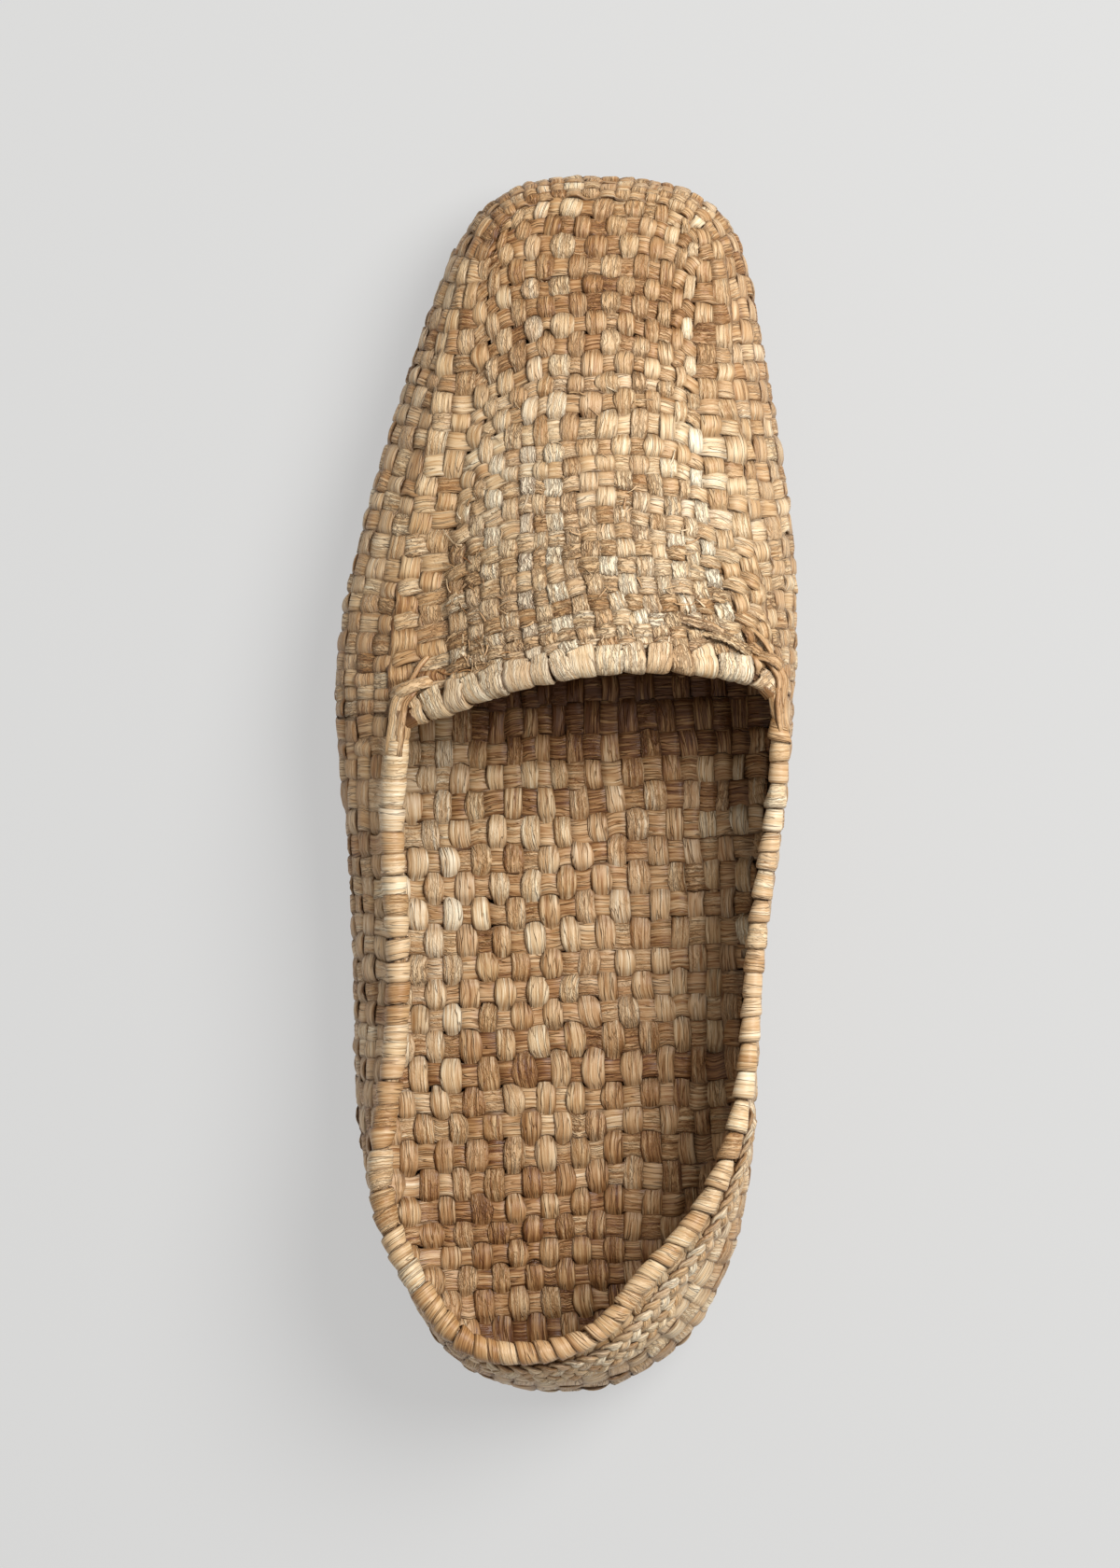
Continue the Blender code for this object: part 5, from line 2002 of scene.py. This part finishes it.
@dataclass(frozen=True)
class Studio:
    """Floor, soft light and the camera over the shoe. Lengths are metres."""

    floor_size: float = 6.0
    camera_at: tuple[float, float, float] = (0.0532, -0.0034, 1.5)
    camera_aim: tuple[float, float, float] = (0.0, 0.0, 0.02)
    camera_roll: float = 2.47
    lens: float = 160.0
    sensor: float = 36.0
    key_at: tuple[float, float, float] = (0.62, 0.47, 0.98)
    key_size: float = 0.8
    key_power: float = 20.5
    surround: str = "#f8f5f0"
    surround_strength: float = 0.425

    def build(self) -> None:
        """Sets up all three."""
        bpy.context.scene.view_settings.view_transform = "Standard"
        self._floor()
        self._lights()
        self._camera()

    def _floor(self) -> None:
        """One large flat sheet under the shoe."""
        half = self.floor_size / 2
        mesh = bpy.data.meshes.new("floor")
        corners = [(-half, -half, 0), (half, -half, 0), (half, half, 0), (-half, half, 0)]
        mesh.from_pydata(corners, [], [(0, 1, 2, 3)])
        mesh.materials.append(PaperFinish().build())
        add_object("floor", mesh)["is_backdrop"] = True

    def _lights(self) -> None:
        """One large soft light from the medial side and the toe, and an even pale surround."""
        world = bpy.data.worlds.new("surround")
        world.use_nodes = True
        looks = {"Color": linear(self.surround), "Strength": self.surround_strength}
        set_inputs(world.node_tree.nodes["Background"], looks)
        bpy.context.scene.world = world
        light = bpy.data.lights.new("key", "AREA")
        light.shape = "DISK"
        light.size = self.key_size
        light.energy = self.key_power
        key = add_object("key", light)
        key.location = self.key_at
        key.rotation_euler = (-Vector(self.key_at)).to_track_quat("-Z", "Y").to_euler()

    def _camera(self) -> None:
        """The camera looks straight down from beside the shoe, rolled so that the toe leans right."""
        data = bpy.data.cameras.new("camera")
        data.sensor_width = self.sensor
        data.lens = self.lens
        data.clip_end = 20.0
        camera = add_object("camera", data)
        sight = Vector(self.camera_aim) - Vector(self.camera_at)
        roll = math.radians(self.camera_roll)
        forward = sight.normalized()
        top = Vector((-math.sin(roll), math.cos(roll), 0))
        right = forward.cross(top).normalized()
        up = right.cross(forward)
        rows = [[right[k], up[k], -forward[k], self.camera_at[k]] for k in range(3)] + [[0, 0, 0, 1]]
        camera.matrix_world = Matrix(rows)
        bpy.context.scene.camera = camera


# ---- main


def main() -> None:
    """Builds every piece of the shoe in order, then the studio."""
    logging.basicConfig(level=logging.INFO, format="%(name)s %(message)s")
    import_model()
    frame_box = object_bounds()
    basket = Basket(Last(ShoeSizes.from_frame()))
    # Pressed straw of the walls and the vamp: cream to brown strips, dull and a little waxy.
    upper = StrawFinish("plaited_straw").build()
    # The same straw rubbed by the foot, whose split fibres stand out light and dark.
    footbed = StrawFinish("footbed_plaited_straw", fibre_contrast=1.5, strand_contrast=0.8).build()
    # The sole's own straw, darker by the tone of its strips.
    sole = StrawFinish("sole_plaited_straw").build()
    # The straw wound round the rims, paler by the tone of its strips.
    pale = StrawFinish("binding_straw").build()

    vamp = VampPanel(basket, upper)
    vamp.wefts(np.random.default_rng(11))
    vamp.warps(np.random.default_rng(12))
    quarters = Quarters(basket, upper)
    quarters.stakes(np.random.default_rng(13))
    quarters.rows(np.random.default_rng(14))
    Collar(quarters, pale).build(np.random.default_rng(15))
    Throat(basket, pale).build(np.random.default_rng(16))
    Corners(quarters, pale).build(np.random.default_rng(20))
    HeelPlait(basket, pale).build(np.random.default_rng(21))
    Frays(basket, upper).build(np.random.default_rng(22))
    sizes = basket.last.sizes
    Mat(
        basket, footbed, "footbed", Slot.FOOTBED, "insole", inset=-0.7, warp_pitch=3.7,
        weft_pitch=5.65, turn=5.0, height=sizes.sole + sizes.gap + 2.0, curl=4.4, curl_width=9.0,
        warp_cell=SEED_WARP, weft_cell=SEED_WEFT,
        warp_straw=Straw(tone=0.54, tone_strand=0.08, hue=0.45, crumple=0.05),
        weft_straw=Straw(tone=0.43, tone_strand=0.10, hue=0.60, crumple=0.05),
        # Painted shade under the vamp and painted light beside the lateral wall.
        shaded=0.50, pale_side=0.24,
    ).build(np.random.default_rng(17))
    Mat(
        basket, sole, "sole", Slot.SOLE, "outsole", inset=1.0, warp_pitch=6.6,
        weft_pitch=7.4, turn=0.0, height=1.6, curl=0.0, curl_width=1.0,
        warp_cell=PILLOW, weft_cell=PILLOW,
        warp_straw=Straw(tone=0.42, hue=0.45), weft_straw=Straw(tone=0.40, hue=0.45),
        medial_squares=False, climbs=False, drift=0.15,
    ).build(np.random.default_rng(18))
    SoleEdge(basket, sole).build(np.random.default_rng(19))
    Studio().build()

    boxes = {"frame": frame_box, "visual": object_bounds()}
    {name: [list(corner) for corner in box] for name, box in boxes.items()}


if __name__ == "__main__":
    main()
